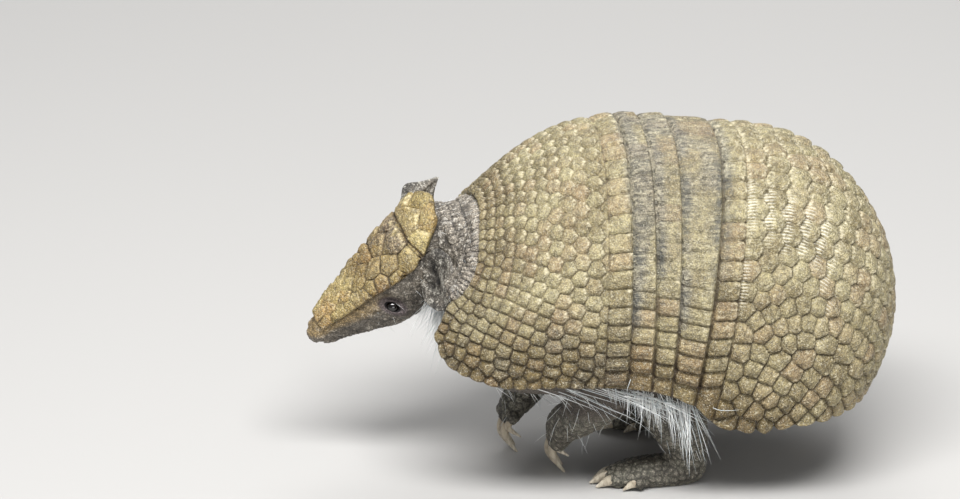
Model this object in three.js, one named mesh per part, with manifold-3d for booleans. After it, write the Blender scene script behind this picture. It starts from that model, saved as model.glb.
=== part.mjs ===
// Brazilian three-banded armadillo, life size, walking with its head lowered.
// Millimetres, +Z up. The head points along -X and the animal's left side is -Y.
// The shield and band plates, eyes and claws are pieces of their own, with thin gaps to the flesh.

import * as THREE from "three";
import { mergeVertices } from "three/addons/utils/BufferGeometryUtils.js";
import Module from "manifold-3d";

const wasm = await Module();
wasm.setup();

// ---------- driving dimensions ----------

const GAP = 0.3; // clearance between neighbouring pieces
const SHELL_THICKNESS = 3;
const SHELL_POWER = 2.3; // above 2, the cross-section of the shell is fuller than an ellipse
const SHELL_TUCK = 0.07; // share of the half-width by which the lower edge turns back in
const SHELL_TUCK_START = 0.7; // in fractions of the way down a flank
const FRONT_SETBACK = 0.03; // in stations
const FRONT_FOLD = { depth: 0.06, flank: 0.6, spread: 0.2 }; // the front edge draws back behind the ear
const FRONT_LOBE = { depth: -0.03, flank: 0.85, spread: 0.08 }; // and comes forward again beside the throat
const FLANK_STEPS = 24;
const FLANK_CROWDING = 1.05; // above 1, the columns of a shield crowd towards the ridge
const SCAPULAR_ROWS = 8;
const PELVIC_ROWS = 11;
const SHIELD_SETBACK = 0.006; // stations left free at each band line
const BAND_SETBACK = 0.014;

// Shell stations: 0 is the front edge, 1 the first band line, 2 the last one, 3 the rear edge.
// Each station is an arc in a plane of its own, from a point on the ridge down to the lower edge.
const BAND_COUNT = 3;
const RIDGE_STATIONS = [0, 0.33, 0.67, 1, 4 / 3, 5 / 3, 2];
const RIDGE = [[-60, 114], [-42, 131.5], [-21, 143.5], [0, 147], [9.3, 146.3], [21, 145.2], [39, 142]];
const EDGE_STATIONS = [0, 0.12, 0.33, 0.67, 1, 4 / 3, 5 / 3, 2];
const EDGE = [[-81, 79], [-77.5, 66], [-61, 57], [-30, 55.5], [-4, 54], [5.5, 52.5], [13.5, 50], [23, 45.5]];
const BELLY = [[-74, 60], [-69, 53], [-56, 45], [-29, 40], [-5, 38], [4, 36.5], [12, 35], [21, 33.5]];
const HALF_WIDTH_STATIONS = [0, 0.35, 0.7, 1, 1.5, 2, 2.5, 3];
const HALF_WIDTH = [40, 54, 59, 60, 60.5, 61, 62, 60];

// The rump is drawn from a pole inside it: angle from straight up, and distance.
const RUMP_POLE = [38, 38];
const RUMP_STATIONS = [0, 0.25, 0.5, 0.75, 1];
const RUMP_ANGLES = [0.55, 23, 46, 69, 91];
const RUMP_RADII = [104, 103.5, 94.5, 80.5, 64.5];
const RUMP_EDGE_STATIONS = [0, 0.3, 0.6, 1];
const RUMP_EDGE = [[23, 45.5], [32, 37], [43, 34.5], [52, 35]];
const RUMP_BELLY = [[21, 33.5], [29, 31.5], [40, 31], [50, 32.5]];
const TAIL_NOTCH_DEPTH = 0.14; // in stations
const TAIL_NOTCH_SPREAD = 0.105; // in fractions of the way down a flank

const TRUNK_FRONT = 0.2; // station
const TRUNK_FRONT_STATIONS = [0.35, 0.5, 0.67, 0.84];
const TRUNK_BAND_STEPS = 4;
const TRUNK_RUMP_START = 2.13;
const TRUNK_RUMP_STEPS = 7;
const TRUNK_REAR = 2.93;
const TRUNK_CLEARANCE = 0.9; // from the inside of the shell
const TRUNK_FLANK = 0.97; // how far down the flanks it follows the shell
const TRUNK_ARC_STEPS = 20;
const BELLY_STEPS = 10;

// Head frame: origin on the crown at the rear margin of the head shield, u towards the nose
// along the forehead, v up from the forehead, w to the animal's left.
const HEAD_ORIGIN = [-80.5, 0, 115.5];
const HEAD_PITCH = 47.5;
const HEAD_YAW = -4; // turned to the animal's left when positive
const HEAD_ROLL = 24; // crown tipped to the animal's left when positive
const HEAD_STATIONS = [0, 14, 28, 40, 52, 63, 71, 74];
const HEAD_HALF_WIDTH = [15.5, 17, 17, 15.2, 11.2, 7.6, 5.4, 4];
const HEAD_DEPTH = [27, 30, 28.5, 25, 19.5, 14, 10, 7.5];
const HEAD_UPPER_SHARE = 0.45; // how much of the depth is above the widest level
const HEAD_POWER = 2.4;
const HEAD_SIDES = 18;
const HEAD_RINGS = [8, 16, 24, 32, 40, 48, 55, 61, 66, 71, 74];
const THROAT_LEAN = 0.55; // the rear of the head slants forward on its way down to the throat
const HEAD_SHIELD_THICKNESS = 1.8;
const HEAD_SHIELD_FRONT = 66;
const HEAD_SHIELD_REAR = -4.5; // on the crown
const HEAD_SHIELD_CORNER = 16; // how much further forward its rear corners are
const HEAD_SHIELD_CORNER_POWER = 2.5;
const HEAD_SHIELD_STATIONS = [-4.5, 20, 40, 56, 66];
const HEAD_SHIELD_REACH = [0.7, 0.64, 0.52, 0.52, 0.5]; // share of the upper half of the head covered

const NECK_INSET = 2; // how much slimmer the neck is than the front of the trunk
const NECK_OVERLAP = 0.03; // stations that it runs into the trunk before it is cut back
const NECK_OVERRUN = 2; // how far it runs into the head before it is cut back
const NECK_SLIMMER_THAN_HEAD = 0.8;
const NECK_FOLD = 0.05; // station where it passes under the front edge of the shell
const NECK_FOLD_INSET = 1.6;
const NECK_FOLD_NARROWING = 0.84; // of the room between the sides of the shell
const NECK_SPAN = 0.62; // share of the half turn that the back of the neck takes up
const NECK_RINGS = [0.3, 0.65]; // shares of the way from the head to the fold

const EYE_RADIUS = 2.9;
const EYE_CENTRE = [39, -14.6, 13.4]; // u, v, w
const EAR_ROOT = [18, -13, 15.8];
const EAR_LENGTH = 24;
const EAR_THICKNESS = 1.5;
const EAR_STATIONS = [0, 0.2, 0.55, 0.85, 1];
const EAR_HALF_WIDTHS = [5, 9.5, 12, 9, 3];
const EAR_CUP = 3; // how far its rims stand above its middle
const EAR_CUP_START = 0.2;
const EAR_TIP_CURL = 2;
const EAR_STEPS = 6;
const LEFT_EAR = { along: [0.42, -0.9, 0.1], wide: [0.15, 0.1, 1] };
const RIGHT_EAR = { along: [0.62, 0.55, 0.5], wide: [-0.4, 0, 0.9] };

const TAIL_PATH = [[91, 0, 52], [98.5, 0, 43], [96.5, 0, 31], [84, 1, 21.5], [66, 2, 18.5], [50, 3, 19]];
const TAIL_RADII = [8.4, 8, 7.4, 6.2, 4.4, 1.4];

const FORELEG_PATH = [[-10, -31, 62], [-9, -33, 48], [-17, -27, 33], [-24, -17, 23], [-26, -12.5, 16.5]];
const FORELEG_RADII = [[15, 12], [13.5, 11], [9.5, 8.5], [7, 8.5], [4.6, 8.6]];
const RIGHT_FORELEG_STEP = -17; // the right forefoot is this far behind (+) or ahead (-) of the left
const FORECLAW_LENGTHS = [9.5, 18.6, 19, 18.6, 9]; // from the innermost digit outwards
const FORECLAW_WIDTHS = [2.4, 3, 3.4, 3, 2.4];
const FORECLAW_SPACING = 3.7;
const FOREPAW_MIDDLE = 11; // from the middle plane of the animal to the middle digit
const FORECLAW_ROOT = [-26.4, 18.6]; // x and z on the middle digit
const FORECLAW_ROOT_STEP = [0.9, -0.3]; // for each digit away from the middle one
const FORECLAW_BOW = -3; // the bend of the claw lies this far ahead of its root
const FORECLAW_TIP_BACK = 2.2;

const SHANK_PATH = [[22, -30, 52], [19, -31, 36], [24, -30, 19], [26, -29, 5]];
const SHANK_RADII = [[15, 12], [14, 11], [9.5, 8.5], [7, 6.5]];
const FOOT_PATH = [[31, -29, 5], [23, -29, 5.4], [12, -28.6, 5.2], [2, -28, 4.4], [-6, -28, 3.2]];
const FOOT_RADII = [[4, 4.6], [6.4, 6.6], [6.2, 8], [5, 8.6], [3.2, 6.4]];
const RIGHT_HINDLEG_STEP = 9;
const HINDCLAW_LENGTHS = [7.5, 10, 11, 10, 7.5];
const HINDCLAW_WIDTHS = [3, 3.8, 4, 3.8, 3];
const HINDCLAW_SETBACK = [9, 1, 0, 1, 9];
const HINDCLAW_SPREAD = [-8.6, -4.3, 0, 4.3, 8.6];
const HINDPAW_MIDDLE = 28;
const HINDCLAW_ROOT = [-3.6, 3.8];
const HINDCLAW_BEND_HEIGHT = 3.2;
const HINDCLAW_TIP_HEIGHT = 0.9;

const CLAW_DEPTH = 1.35; // times its width
const CLAW_TAPER = [0.5, 0.42, 0.2]; // radius at the root, bend and tip, as shares of the width or depth
const CLAW_BEND = 0.5; // share of the way along
const CLAW_RINGS = 3;
const CLAW_SIDES = 6;
const LIMB_RINGS = 7;
const LIMB_SIDES = 10;

const COLOURS = {
  shell: { color: 0xa08b56, roughness: 0.55, metalness: 0 },
  headShield: { color: 0xb0904a, roughness: 0.5, metalness: 0 },
  flesh: { color: 0x5a4d42, roughness: 0.75, metalness: 0 },
  ear: { color: 0x5b5c5e, roughness: 0.7, metalness: 0 },
  tail: { color: 0x8a784c, roughness: 0.6, metalness: 0 },
  eye: { color: 0x120d0a, roughness: 0.08, metalness: 0 },
  claw: { color: 0xa39a88, roughness: 0.4, metalness: 0 },
};

// ---------- curves ----------

// A smooth curve through values at uneven stations. Values are numbers or equal-length lists.
function curve(stations, values) {
  const rows = values.map((value) => [value].flat());
  const last = stations.length - 1;
  const slope = (i, c) => {
    if (i === 0) return (rows[1][c] - rows[0][c]) / (stations[1] - stations[0]);
    if (i === last) return (rows[last][c] - rows[last - 1][c]) / (stations[last] - stations[last - 1]);
    const before = stations[i] - stations[i - 1];
    const after = stations[i + 1] - stations[i];
    const slopeBefore = (rows[i][c] - rows[i - 1][c]) / before;
    const slopeAfter = (rows[i + 1][c] - rows[i][c]) / after;
    return (slopeBefore * after + slopeAfter * before) / (before + after);
  };
  return (at) => {
    const t = Math.min(Math.max(at, stations[0]), stations[last]);
    let i = 0;
    while (i < last - 1 && t > stations[i + 1]) i += 1;
    const h = stations[i + 1] - stations[i];
    const x = (t - stations[i]) / h;
    const out = rows[i].map((_, c) => {
      const start = (2 * x ** 3 - 3 * x ** 2 + 1) * rows[i][c];
      const end = (3 * x ** 2 - 2 * x ** 3) * rows[i + 1][c];
      const rise = (x ** 3 - 2 * x ** 2 + x) * h * slope(i, c);
      const fall = (x ** 3 - x ** 2) * h * slope(i + 1, c);
      return start + end + rise + fall;
    });
    return out.length === 1 ? out[0] : out;
  };
}

const radians = THREE.MathUtils.degToRad;
const range = (count) => Array.from({ length: count }, (_, i) => i);
const spread = (from, to, steps) => range(steps + 1).map((i) => from + ((to - from) * i) / steps);

// Rounded-square arc: cosine and sine raised so that their powers add up to one.
const arcCos = (angle, power) => Math.max(Math.cos(angle), 0) ** (2 / power);
const arcSin = (angle, power) => Math.max(Math.sin(angle), 0) ** (2 / power);

// ---------- solids ----------

function solidVolume(positions, triangles) {
  const corner = (i) => new THREE.Vector3().fromArray(positions, 3 * i);
  let volume = 0;
  for (let i = 0; i < triangles.length; i += 3) {
    const [a, b, c] = [corner(triangles[i]), corner(triangles[i + 1]), corner(triangles[i + 2])];
    volume += a.dot(b.cross(c)) / 6;
  }
  return volume;
}

function solidFrom(points, triangles) {
  const positions = points.flatMap((point) => point.toArray());
  const faces = triangles.slice();
  if (solidVolume(positions, faces) < 0) {
    for (let i = 0; i < faces.length; i += 3) [faces[i], faces[i + 1]] = [faces[i + 1], faces[i]];
  }
  const geometry = new THREE.BufferGeometry();
  geometry.setAttribute("position", new THREE.Float32BufferAttribute(positions, 3));
  geometry.setIndex(faces);
  return geometry;
}

// A closed tube through rings of equal size, with a fan on each end.
function loft(rings) {
  const size = rings[0].length;
  const points = rings.flat();
  const triangles = [];
  for (let r = 0; r < rings.length - 1; r += 1) {
    for (let i = 0; i < size; i += 1) {
      const [a, b] = [r * size + i, r * size + ((i + 1) % size)];
      const [c, d] = [a + size, b + size];
      triangles.push(a, b, d, a, d, c);
    }
  }
  for (const [ring, flip] of [[0, true], [rings.length - 1, false]]) {
    const centre = new THREE.Vector3();
    rings[ring].forEach((point) => centre.addScaledVector(point, 1 / size));
    const hub = points.push(centre) - 1;
    for (let i = 0; i < size; i += 1) {
      const [a, b] = [ring * size + i, ring * size + ((i + 1) % size)];
      triangles.push(...(flip ? [b, a, hub] : [a, b, hub]));
    }
  }
  return solidFrom(points, triangles);
}

// A closed plate between an outer and an inner grid of points, both given as rows.
function plate(outer, inner) {
  const [rows, columns] = [outer.length, outer[0].length];
  const points = [...outer.flat(), ...inner.flat()];
  const offset = rows * columns;
  const triangles = [];
  for (let r = 0; r < rows - 1; r += 1) {
    for (let c = 0; c < columns - 1; c += 1) {
      const a = r * columns + c;
      const [b, d, e] = [a + 1, a + columns, a + columns + 1];
      triangles.push(a, b, e, a, e, d);
      triangles.push(offset + a, offset + e, offset + b, offset + a, offset + d, offset + e);
    }
  }
  const rim = [
    ...range(columns).map((c) => c),
    ...range(rows).slice(1).map((r) => r * columns + columns - 1),
    ...range(columns - 1).map((c) => rows * columns - 2 - c),
    ...range(rows - 2).map((r) => (rows - 2 - r) * columns),
  ];
  rim.forEach((a, i) => {
    const b = rim[(i + 1) % rim.length];
    triangles.push(a, offset + a, offset + b, a, offset + b, b);
  });
  return solidFrom(points, triangles);
}

const MERGE_DISTANCE = 1e-4;

function toManifold(geometry) {
  const bare = new THREE.BufferGeometry();
  bare.setAttribute("position", geometry.getAttribute("position").clone());
  bare.setIndex(geometry.getIndex() ? geometry.getIndex().clone() : null);
  const merged = mergeVertices(bare, MERGE_DISTANCE);
  return new wasm.Manifold(new wasm.Mesh({
    numProp: 3,
    vertProperties: new Float32Array(merged.getAttribute("position").array),
    triVerts: new Uint32Array(merged.getIndex().array),
  }));
}

function fromManifold(manifold) {
  const mesh = manifold.getMesh();
  const geometry = new THREE.BufferGeometry();
  geometry.setAttribute("position", new THREE.BufferAttribute(Float32Array.from(mesh.vertProperties), 3));
  geometry.setIndex([...mesh.triVerts]);
  return geometry;
}

const join = (...geometries) => fromManifold(geometries.map(toManifold).reduce((a, b) => a.add(b)));
const cut = (geometry, ...tools) => (
  fromManifold(tools.map(toManifold).reduce((a, b) => a.subtract(b), toManifold(geometry)))
);

// Takes away all that lies below the floor, which leaves a flat to stand on.
function standOnFloor(geometry) {
  const [reach, depth] = [400, 100];
  const below = new THREE.BoxGeometry(reach, reach, depth);
  below.translate(0, 0, -depth / 2);
  return cut(geometry, below);
}

// A limb: ellipses across a smooth path. Each radius pair is along the path's plane and across it.
function limb(path, radii, rings = LIMB_RINGS, sides = LIMB_SIDES) {
  const step = 0.05; // for the slope of the path
  const stations = path.map((_, i) => i);
  const [centreAt, radiusAt] = [curve(stations, path), curve(stations, radii)];
  const last = path.length - 1;
  const across = new THREE.Vector3(0, 1, 0);
  return loft(spread(0, last, rings).map((t) => {
    const centre = new THREE.Vector3(...centreAt(t));
    const ahead = new THREE.Vector3(...centreAt(Math.min(t + step, last)));
    const behind = new THREE.Vector3(...centreAt(Math.max(t - step, 0)));
    const along = ahead.sub(behind).normalize();
    const deep = new THREE.Vector3().crossVectors(along, across).normalize();
    const wide = new THREE.Vector3().crossVectors(deep, along);
    const [thick, broad] = radiusAt(t);
    return range(sides).map((i) => {
      const angle = (2 * Math.PI * i) / sides;
      return centre.clone()
        .addScaledVector(deep, thick * Math.cos(angle))
        .addScaledVector(wide, broad * Math.sin(angle));
    });
  }));
}

// ---------- the shell ----------

const ridgeAt = curve(RIDGE_STATIONS, RIDGE);
const edgeAt = curve(EDGE_STATIONS, EDGE);
const bellyAt = curve(EDGE_STATIONS, BELLY);
const halfWidthAt = curve(HALF_WIDTH_STATIONS, HALF_WIDTH);
const rumpAngleAt = curve(RUMP_STATIONS, RUMP_ANGLES);
const rumpRadiusAt = curve(RUMP_STATIONS, RUMP_RADII);
const rumpEdgeAt = curve(RUMP_EDGE_STATIONS, RUMP_EDGE);
const rumpBellyAt = curve(RUMP_EDGE_STATIONS, RUMP_BELLY);

function ridgePoint(t) {
  if (t <= 2) return ridgeAt(t);
  const angle = radians(rumpAngleAt(t - 2));
  const radius = rumpRadiusAt(t - 2);
  return [RUMP_POLE[0] + radius * Math.sin(angle), RUMP_POLE[1] + radius * Math.cos(angle)];
}

const edgePoint = (t) => (t <= 2 ? edgeAt(t) : rumpEdgeAt(t - 2));
const bellyPoint = (t) => (t <= 2 ? bellyAt(t) : rumpBellyAt(t - 2));

// A point on the outside of the shell: station t, and flank from -1 (left edge) over the ridge to 1.
function shellPoint(t, flank) {
  const angle = (Math.abs(flank) * Math.PI) / 2;
  const [ridge, edge] = [ridgePoint(t), edgePoint(t)];
  const rise = arcCos(angle, SHELL_POWER);
  const towardsEdge = Math.max(0, Math.abs(flank) - SHELL_TUCK_START) / (1 - SHELL_TUCK_START);
  const tuck = SHELL_TUCK * towardsEdge ** 2;
  return new THREE.Vector3(
    edge[0] + (ridge[0] - edge[0]) * rise,
    Math.sign(flank) * halfWidthAt(t) * arcSin(angle, SHELL_POWER) * (1 - tuck),
    edge[1] + (ridge[1] - edge[1]) * rise,
  );
}

// At the lower edges the slope is taken a little higher up, where it is steady.
function shellNormal(t, flank) {
  const step = 0.01;
  const [edge, inner] = [0.985, 0.96];
  const [lower, upper] = [Math.max(flank - step, -edge), Math.min(flank + step, edge)];
  const alongBody = shellPoint(Math.min(t + step, 3), flank).sub(shellPoint(Math.max(t - step, 0), flank));
  const acrossBody = shellPoint(t, Math.max(upper, -inner)).sub(shellPoint(t, Math.min(lower, inner)));
  return alongBody.cross(acrossBody).normalize();
}

const shellInside = (t, flank, depth) => shellPoint(t, flank).addScaledVector(shellNormal(t, flank), -depth);

// Front and rear edges of the shields, as stations that change from the ridge down the flank.
const swell = (at, { depth, flank, spread: width }) => depth * Math.exp(-(((at - flank) / width) ** 2));
const shellFront = (flank) => (
  FRONT_SETBACK + swell(Math.abs(flank), FRONT_FOLD) + swell(Math.abs(flank), FRONT_LOBE)
);
const shellRear = (flank) => 3 - TAIL_NOTCH_DEPTH * Math.exp(-((flank / TAIL_NOTCH_SPREAD) ** 2));

const FLANKS = spread(-1, 1, FLANK_STEPS).map((flank) => (
  Math.sign(flank) * Math.abs(flank) ** FLANK_CROWDING
));

function shieldPlate(frontAt, rearAt, rows) {
  const grid = (depth) => range(rows + 1).map((r) => FLANKS.map((flank) => {
    const t = frontAt(flank) + ((rearAt(flank) - frontAt(flank)) * r) / rows;
    return depth === 0 ? shellPoint(t, flank) : shellInside(t, flank, depth);
  }));
  return plate(grid(0), grid(SHELL_THICKNESS));
}

const scapularShield = () => shieldPlate(shellFront, () => 1 - SHIELD_SETBACK, SCAPULAR_ROWS);
const pelvicShield = () => shieldPlate(() => 2 + SHIELD_SETBACK, shellRear, PELVIC_ROWS);
const band = (i) => shieldPlate(
  () => 1 + i / BAND_COUNT + BAND_SETBACK,
  () => 1 + (i + 1) / BAND_COUNT - BAND_SETBACK,
  1,
);

// ---------- trunk ----------

const TRUNK_STATIONS = [
  ...TRUNK_FRONT_STATIONS,
  ...spread(1, 2, TRUNK_BAND_STEPS),
  ...spread(TRUNK_RUMP_START, TRUNK_REAR, TRUNK_RUMP_STEPS),
];

// A closed ring round the body, a given depth below the inside of the shell and the belly.
function trunkRing(t, clearance) {
  const depth = SHELL_THICKNESS + clearance;
  const upper = spread(-TRUNK_FLANK, TRUNK_FLANK, TRUNK_ARC_STEPS).map((flank) => shellInside(t, flank, depth));
  const [edge, belly] = [edgePoint(t), bellyPoint(t)];
  const end = upper[upper.length - 1];
  const lower = spread(0, Math.PI, BELLY_STEPS).slice(1, -1).map((angle) => {
    const drop = arcSin(angle, SHELL_POWER);
    const side = Math.sign(Math.cos(angle)) * arcCos(Math.min(angle, Math.PI - angle), SHELL_POWER);
    return new THREE.Vector3(
      end.x + (belly[0] - edge[0]) * drop,
      end.y * side,
      end.z + (belly[1] + clearance - TRUNK_CLEARANCE - end.z) * drop,
    );
  });
  return [...upper, ...lower];
}

const trunkBody = () => loft([TRUNK_FRONT, ...TRUNK_STATIONS].map((t) => trunkRing(t, TRUNK_CLEARANCE)));

// The trunk with the gap round it, which its neighbours are cut back to.
const GAP_IN_STATIONS = 0.015;
const trunkAndGap = () => (
  loft([TRUNK_FRONT - GAP_IN_STATIONS, ...TRUNK_STATIONS].map((t) => trunkRing(t, TRUNK_CLEARANCE - GAP)))
);

// ---------- head ----------

const headPitch = radians(HEAD_PITCH);
const headYaw = radians(HEAD_YAW);
const headRoll = radians(HEAD_ROLL);
const headU = new THREE.Vector3(
  -Math.cos(headPitch) * Math.cos(headYaw), -Math.cos(headPitch) * Math.sin(headYaw), -Math.sin(headPitch),
);
const levelV = new THREE.Vector3(
  -Math.sin(headPitch) * Math.cos(headYaw), -Math.sin(headPitch) * Math.sin(headYaw), Math.cos(headPitch),
);
const levelW = new THREE.Vector3(Math.sin(headYaw), -Math.cos(headYaw), 0);
const headV = levelV.clone().multiplyScalar(Math.cos(headRoll)).addScaledVector(levelW, Math.sin(headRoll));
const headW = levelW.clone().multiplyScalar(Math.cos(headRoll)).addScaledVector(levelV, -Math.sin(headRoll));

const headPlace = (u, v, w) => new THREE.Vector3(...HEAD_ORIGIN)
  .addScaledVector(headU, u).addScaledVector(headV, v).addScaledVector(headW, w);

const HEAD_LENGTH = HEAD_STATIONS[HEAD_STATIONS.length - 1];
const headHalfWidthAt = curve(HEAD_STATIONS, HEAD_HALF_WIDTH);
const headDepthAt = curve(HEAD_STATIONS, HEAD_DEPTH);
const headShieldReachAt = curve(HEAD_SHIELD_STATIONS, HEAD_SHIELD_REACH);

// A point round the head at station u. The angle is 0 on the crown and 180 degrees on the throat.
function headPoint(u, angle, grow = 0) {
  const turn = Math.abs(angle);
  const half = headHalfWidthAt(u) + grow;
  const upper = headDepthAt(u) * HEAD_UPPER_SHARE;
  const lower = headDepthAt(u) - upper;
  const folded = turn > Math.PI / 2 ? Math.PI - turn : turn;
  const height = turn > Math.PI / 2
    ? -(lower + grow) * arcCos(folded, HEAD_POWER)
    : (upper + grow) * arcCos(folded, HEAD_POWER);
  const v = height - upper - GAP - HEAD_SHIELD_THICKNESS;
  const lean = THROAT_LEAN * (1 - Math.max(u, 0) / HEAD_LENGTH);
  return headPlace(u - lean * v, v, Math.sign(angle) * half * arcSin(folded, HEAD_POWER));
}

const headRing = (u, grow = 0) => range(HEAD_SIDES).map((i) => (
  headPoint(u, -Math.PI + (2 * Math.PI * (i + 0.5)) / HEAD_SIDES, grow)
));

const headBody = (grow = 0) => loft([-grow, ...HEAD_RINGS].map((u) => headRing(u, grow)));

function eyeBall(side, grow = 0) {
  const ball = new THREE.SphereGeometry(EYE_RADIUS + grow, 12, 8);
  ball.translate(...headPlace(EYE_CENTRE[0], EYE_CENTRE[1], side * EYE_CENTRE[2]).toArray());
  return ball;
}

function headShield() {
  const grid = (grow) => spread(0, 1, 9).map((along) => spread(-1, 1, 10).map((share) => {
    const rear = HEAD_SHIELD_REAR + HEAD_SHIELD_CORNER * Math.abs(share) ** HEAD_SHIELD_CORNER_POWER;
    const u = rear + (HEAD_SHIELD_FRONT - rear) * along;
    return headPoint(u, (share * headShieldReachAt(u) * Math.PI) / 2, grow);
  }));
  return plate(grid(GAP + HEAD_SHIELD_THICKNESS), grid(GAP));
}

// ---------- neck ----------

// Rings pass from the rear of the head to the front of the trunk.
function neckTube(grow = 0) {
  const trunkEnd = trunkRing(TRUNK_FRONT + NECK_OVERLAP, TRUNK_CLEARANCE + NECK_INSET - grow);
  const underEdge = trunkRing(NECK_FOLD, TRUNK_CLEARANCE + NECK_FOLD_INSET - grow);
  underEdge.forEach((point) => { point.y *= NECK_FOLD_NARROWING; });
  const size = trunkEnd.length;
  const headEnd = range(size).map((i) => {
    const overBack = (i / TRUNK_ARC_STEPS) * 2 - 1;
    const underThroat = (i - TRUNK_ARC_STEPS) / (size - TRUNK_ARC_STEPS);
    const turn = i <= TRUNK_ARC_STEPS
      ? overBack * NECK_SPAN
      : NECK_SPAN + 2 * (1 - NECK_SPAN) * underThroat;
    const angle = -Math.PI * (turn > 1 ? turn - 2 : turn);
    return headPoint(NECK_OVERRUN, angle, grow - NECK_SLIMMER_THAN_HEAD);
  });
  const between = NECK_RINGS.map((share) => (
    headEnd.map((point, i) => point.clone().lerp(underEdge[i], share))
  ));
  return loft([headEnd, ...between, underEdge, trunkEnd]);
}

const neckBody = () => cut(neckTube(), headBody(GAP), trunkAndGap());

// ---------- ears ----------

// A cupped leaf that stands out behind the cheek. Its grid runs along the ear and across it.
const earHalfWidthAt = curve(EAR_STATIONS, EAR_HALF_WIDTHS);

function earLeaf(side) {
  const lie = side > 0 ? LEFT_EAR : RIGHT_EAR;
  const root = headPlace(EAR_ROOT[0], EAR_ROOT[1], side * EAR_ROOT[2]);
  const along = new THREE.Vector3(...lie.along).normalize();
  const wide = new THREE.Vector3(...lie.wide);
  wide.addScaledVector(along, -wide.dot(along)).normalize();
  const hollowSide = new THREE.Vector3().crossVectors(along, wide).multiplyScalar(side);
  const grid = (lift) => spread(0, 1, EAR_STEPS).map((s) => spread(-1, 1, EAR_STEPS).map((q) => {
    const cup = EAR_CUP * q * q * Math.sin(Math.PI * Math.min(s + EAR_CUP_START, 1));
    const bowl = cup + EAR_TIP_CURL * s * s;
    return root.clone()
      .addScaledVector(along, s * EAR_LENGTH)
      .addScaledVector(wide, q * earHalfWidthAt(s))
      .addScaledVector(hollowSide, bowl + lift);
  }));
  return plate(grid(EAR_THICKNESS / 2), grid(-EAR_THICKNESS / 2));
}

const ear = (side) => cut(earLeaf(side), headBody(GAP), neckTube(GAP));

// ---------- legs and claws ----------

const DIGITS = range(FORECLAW_LENGTHS.length);
const MIDDLE_DIGIT = 2;
const mirrorY = (path) => path.map(([x, y, z]) => [x, -y, z]);
// The first moves a path's far end along the body, for a stride, and the second the whole of it.
const strideX = (path, step) => path.map(([x, y, z], i) => [x + step * (i / (path.length - 1)), y, z]);
const shiftX = (path, step) => path.map(([x, y, z]) => [x + step, y, z]);

// A claw is a curved cone through a root, a bend and a tip, flattened from side to side.
function claw(root, bend, tip, width, grow) {
  const radii = CLAW_TAPER.map((share) => [CLAW_DEPTH * width * share + grow, width * share + grow]);
  return limb([root, bend, tip], radii, CLAW_RINGS, CLAW_SIDES);
}

function foreClaw(side, digit, grow = 0) {
  const step = side > 0 ? 0 : RIGHT_FORELEG_STEP;
  const y = -side * (FOREPAW_MIDDLE + (digit - MIDDLE_DIGIT) * FORECLAW_SPACING);
  const length = FORECLAW_LENGTHS[digit];
  const [x, z] = FORECLAW_ROOT.map((at, i) => at + Math.abs(digit - MIDDLE_DIGIT) * FORECLAW_ROOT_STEP[i]);
  const root = [x + step, y, z];
  const bend = [x + step + FORECLAW_BOW, y, z - length * CLAW_BEND];
  const tip = [x + step + FORECLAW_TIP_BACK, y, z - length];
  return claw(root, bend, tip, FORECLAW_WIDTHS[digit], grow);
}

function hindClaw(side, digit, grow = 0) {
  const step = side > 0 ? 0 : RIGHT_HINDLEG_STEP;
  const y = -side * (HINDPAW_MIDDLE + HINDCLAW_SPREAD[digit]);
  const length = HINDCLAW_LENGTHS[digit];
  const root = [HINDCLAW_ROOT[0] + HINDCLAW_SETBACK[digit] + step, y, HINDCLAW_ROOT[1]];
  const bend = [root[0] - length * CLAW_BEND, y, HINDCLAW_BEND_HEIGHT];
  const tip = [root[0] - length, y, HINDCLAW_TIP_HEIGHT];
  return claw(root, bend, tip, HINDCLAW_WIDTHS[digit], grow);
}

function foreLeg(side) {
  const step = side > 0 ? 0 : RIGHT_FORELEG_STEP;
  const leg = limb(strideX(side > 0 ? FORELEG_PATH : mirrorY(FORELEG_PATH), step), FORELEG_RADII);
  return cut(leg, trunkAndGap(), ...DIGITS.map((i) => foreClaw(side, i, GAP)));
}

function hindLeg(side) {
  const step = side > 0 ? 0 : RIGHT_HINDLEG_STEP;
  const shank = limb(strideX(side > 0 ? SHANK_PATH : mirrorY(SHANK_PATH), step), SHANK_RADII);
  const foot = limb(shiftX(side > 0 ? FOOT_PATH : mirrorY(FOOT_PATH), step), FOOT_RADII);
  const claws = DIGITS.map((i) => hindClaw(side, i, GAP));
  return standOnFloor(cut(join(shank, foot), trunkAndGap(), ...claws));
}

// ---------- assembly ----------

const armadillo = new THREE.Group();

function add(name, geometry, finish) {
  const mesh = new THREE.Mesh(geometry, new THREE.MeshStandardMaterial(COLOURS[finish]));
  mesh.name = name;
  armadillo.add(mesh);
}

add("trunk", trunkBody(), "flesh");
add("neck", neckBody(), "flesh");
add("head", cut(headBody(), eyeBall(1, GAP), eyeBall(-1, GAP)), "flesh");
add("head_shield", headShield(), "headShield");
add("scapular_shield", scapularShield(), "shell");
range(BAND_COUNT).forEach((i) => add(`band_${i + 1}`, band(i), "shell"));
add("pelvic_shield", pelvicShield(), "shell");
add("tail", cut(limb(TAIL_PATH, TAIL_RADII.map((r) => [r, r])), trunkAndGap()), "tail");

for (const [side, name] of [[1, "left"], [-1, "right"]]) {
  add(`eye_${name}`, eyeBall(side), "eye");
  add(`ear_${name}`, ear(side), "ear");
  add(`foreleg_${name}`, foreLeg(side), "flesh");
  add(`hindleg_${name}`, hindLeg(side), "flesh");
  for (const digit of DIGITS) {
    add(`foreclaw_${name}_${digit + 1}`, standOnFloor(foreClaw(side, digit)), "claw");
    add(`hindclaw_${name}_${digit + 1}`, standOnFloor(hindClaw(side, digit)), "claw");
  }
}

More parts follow.
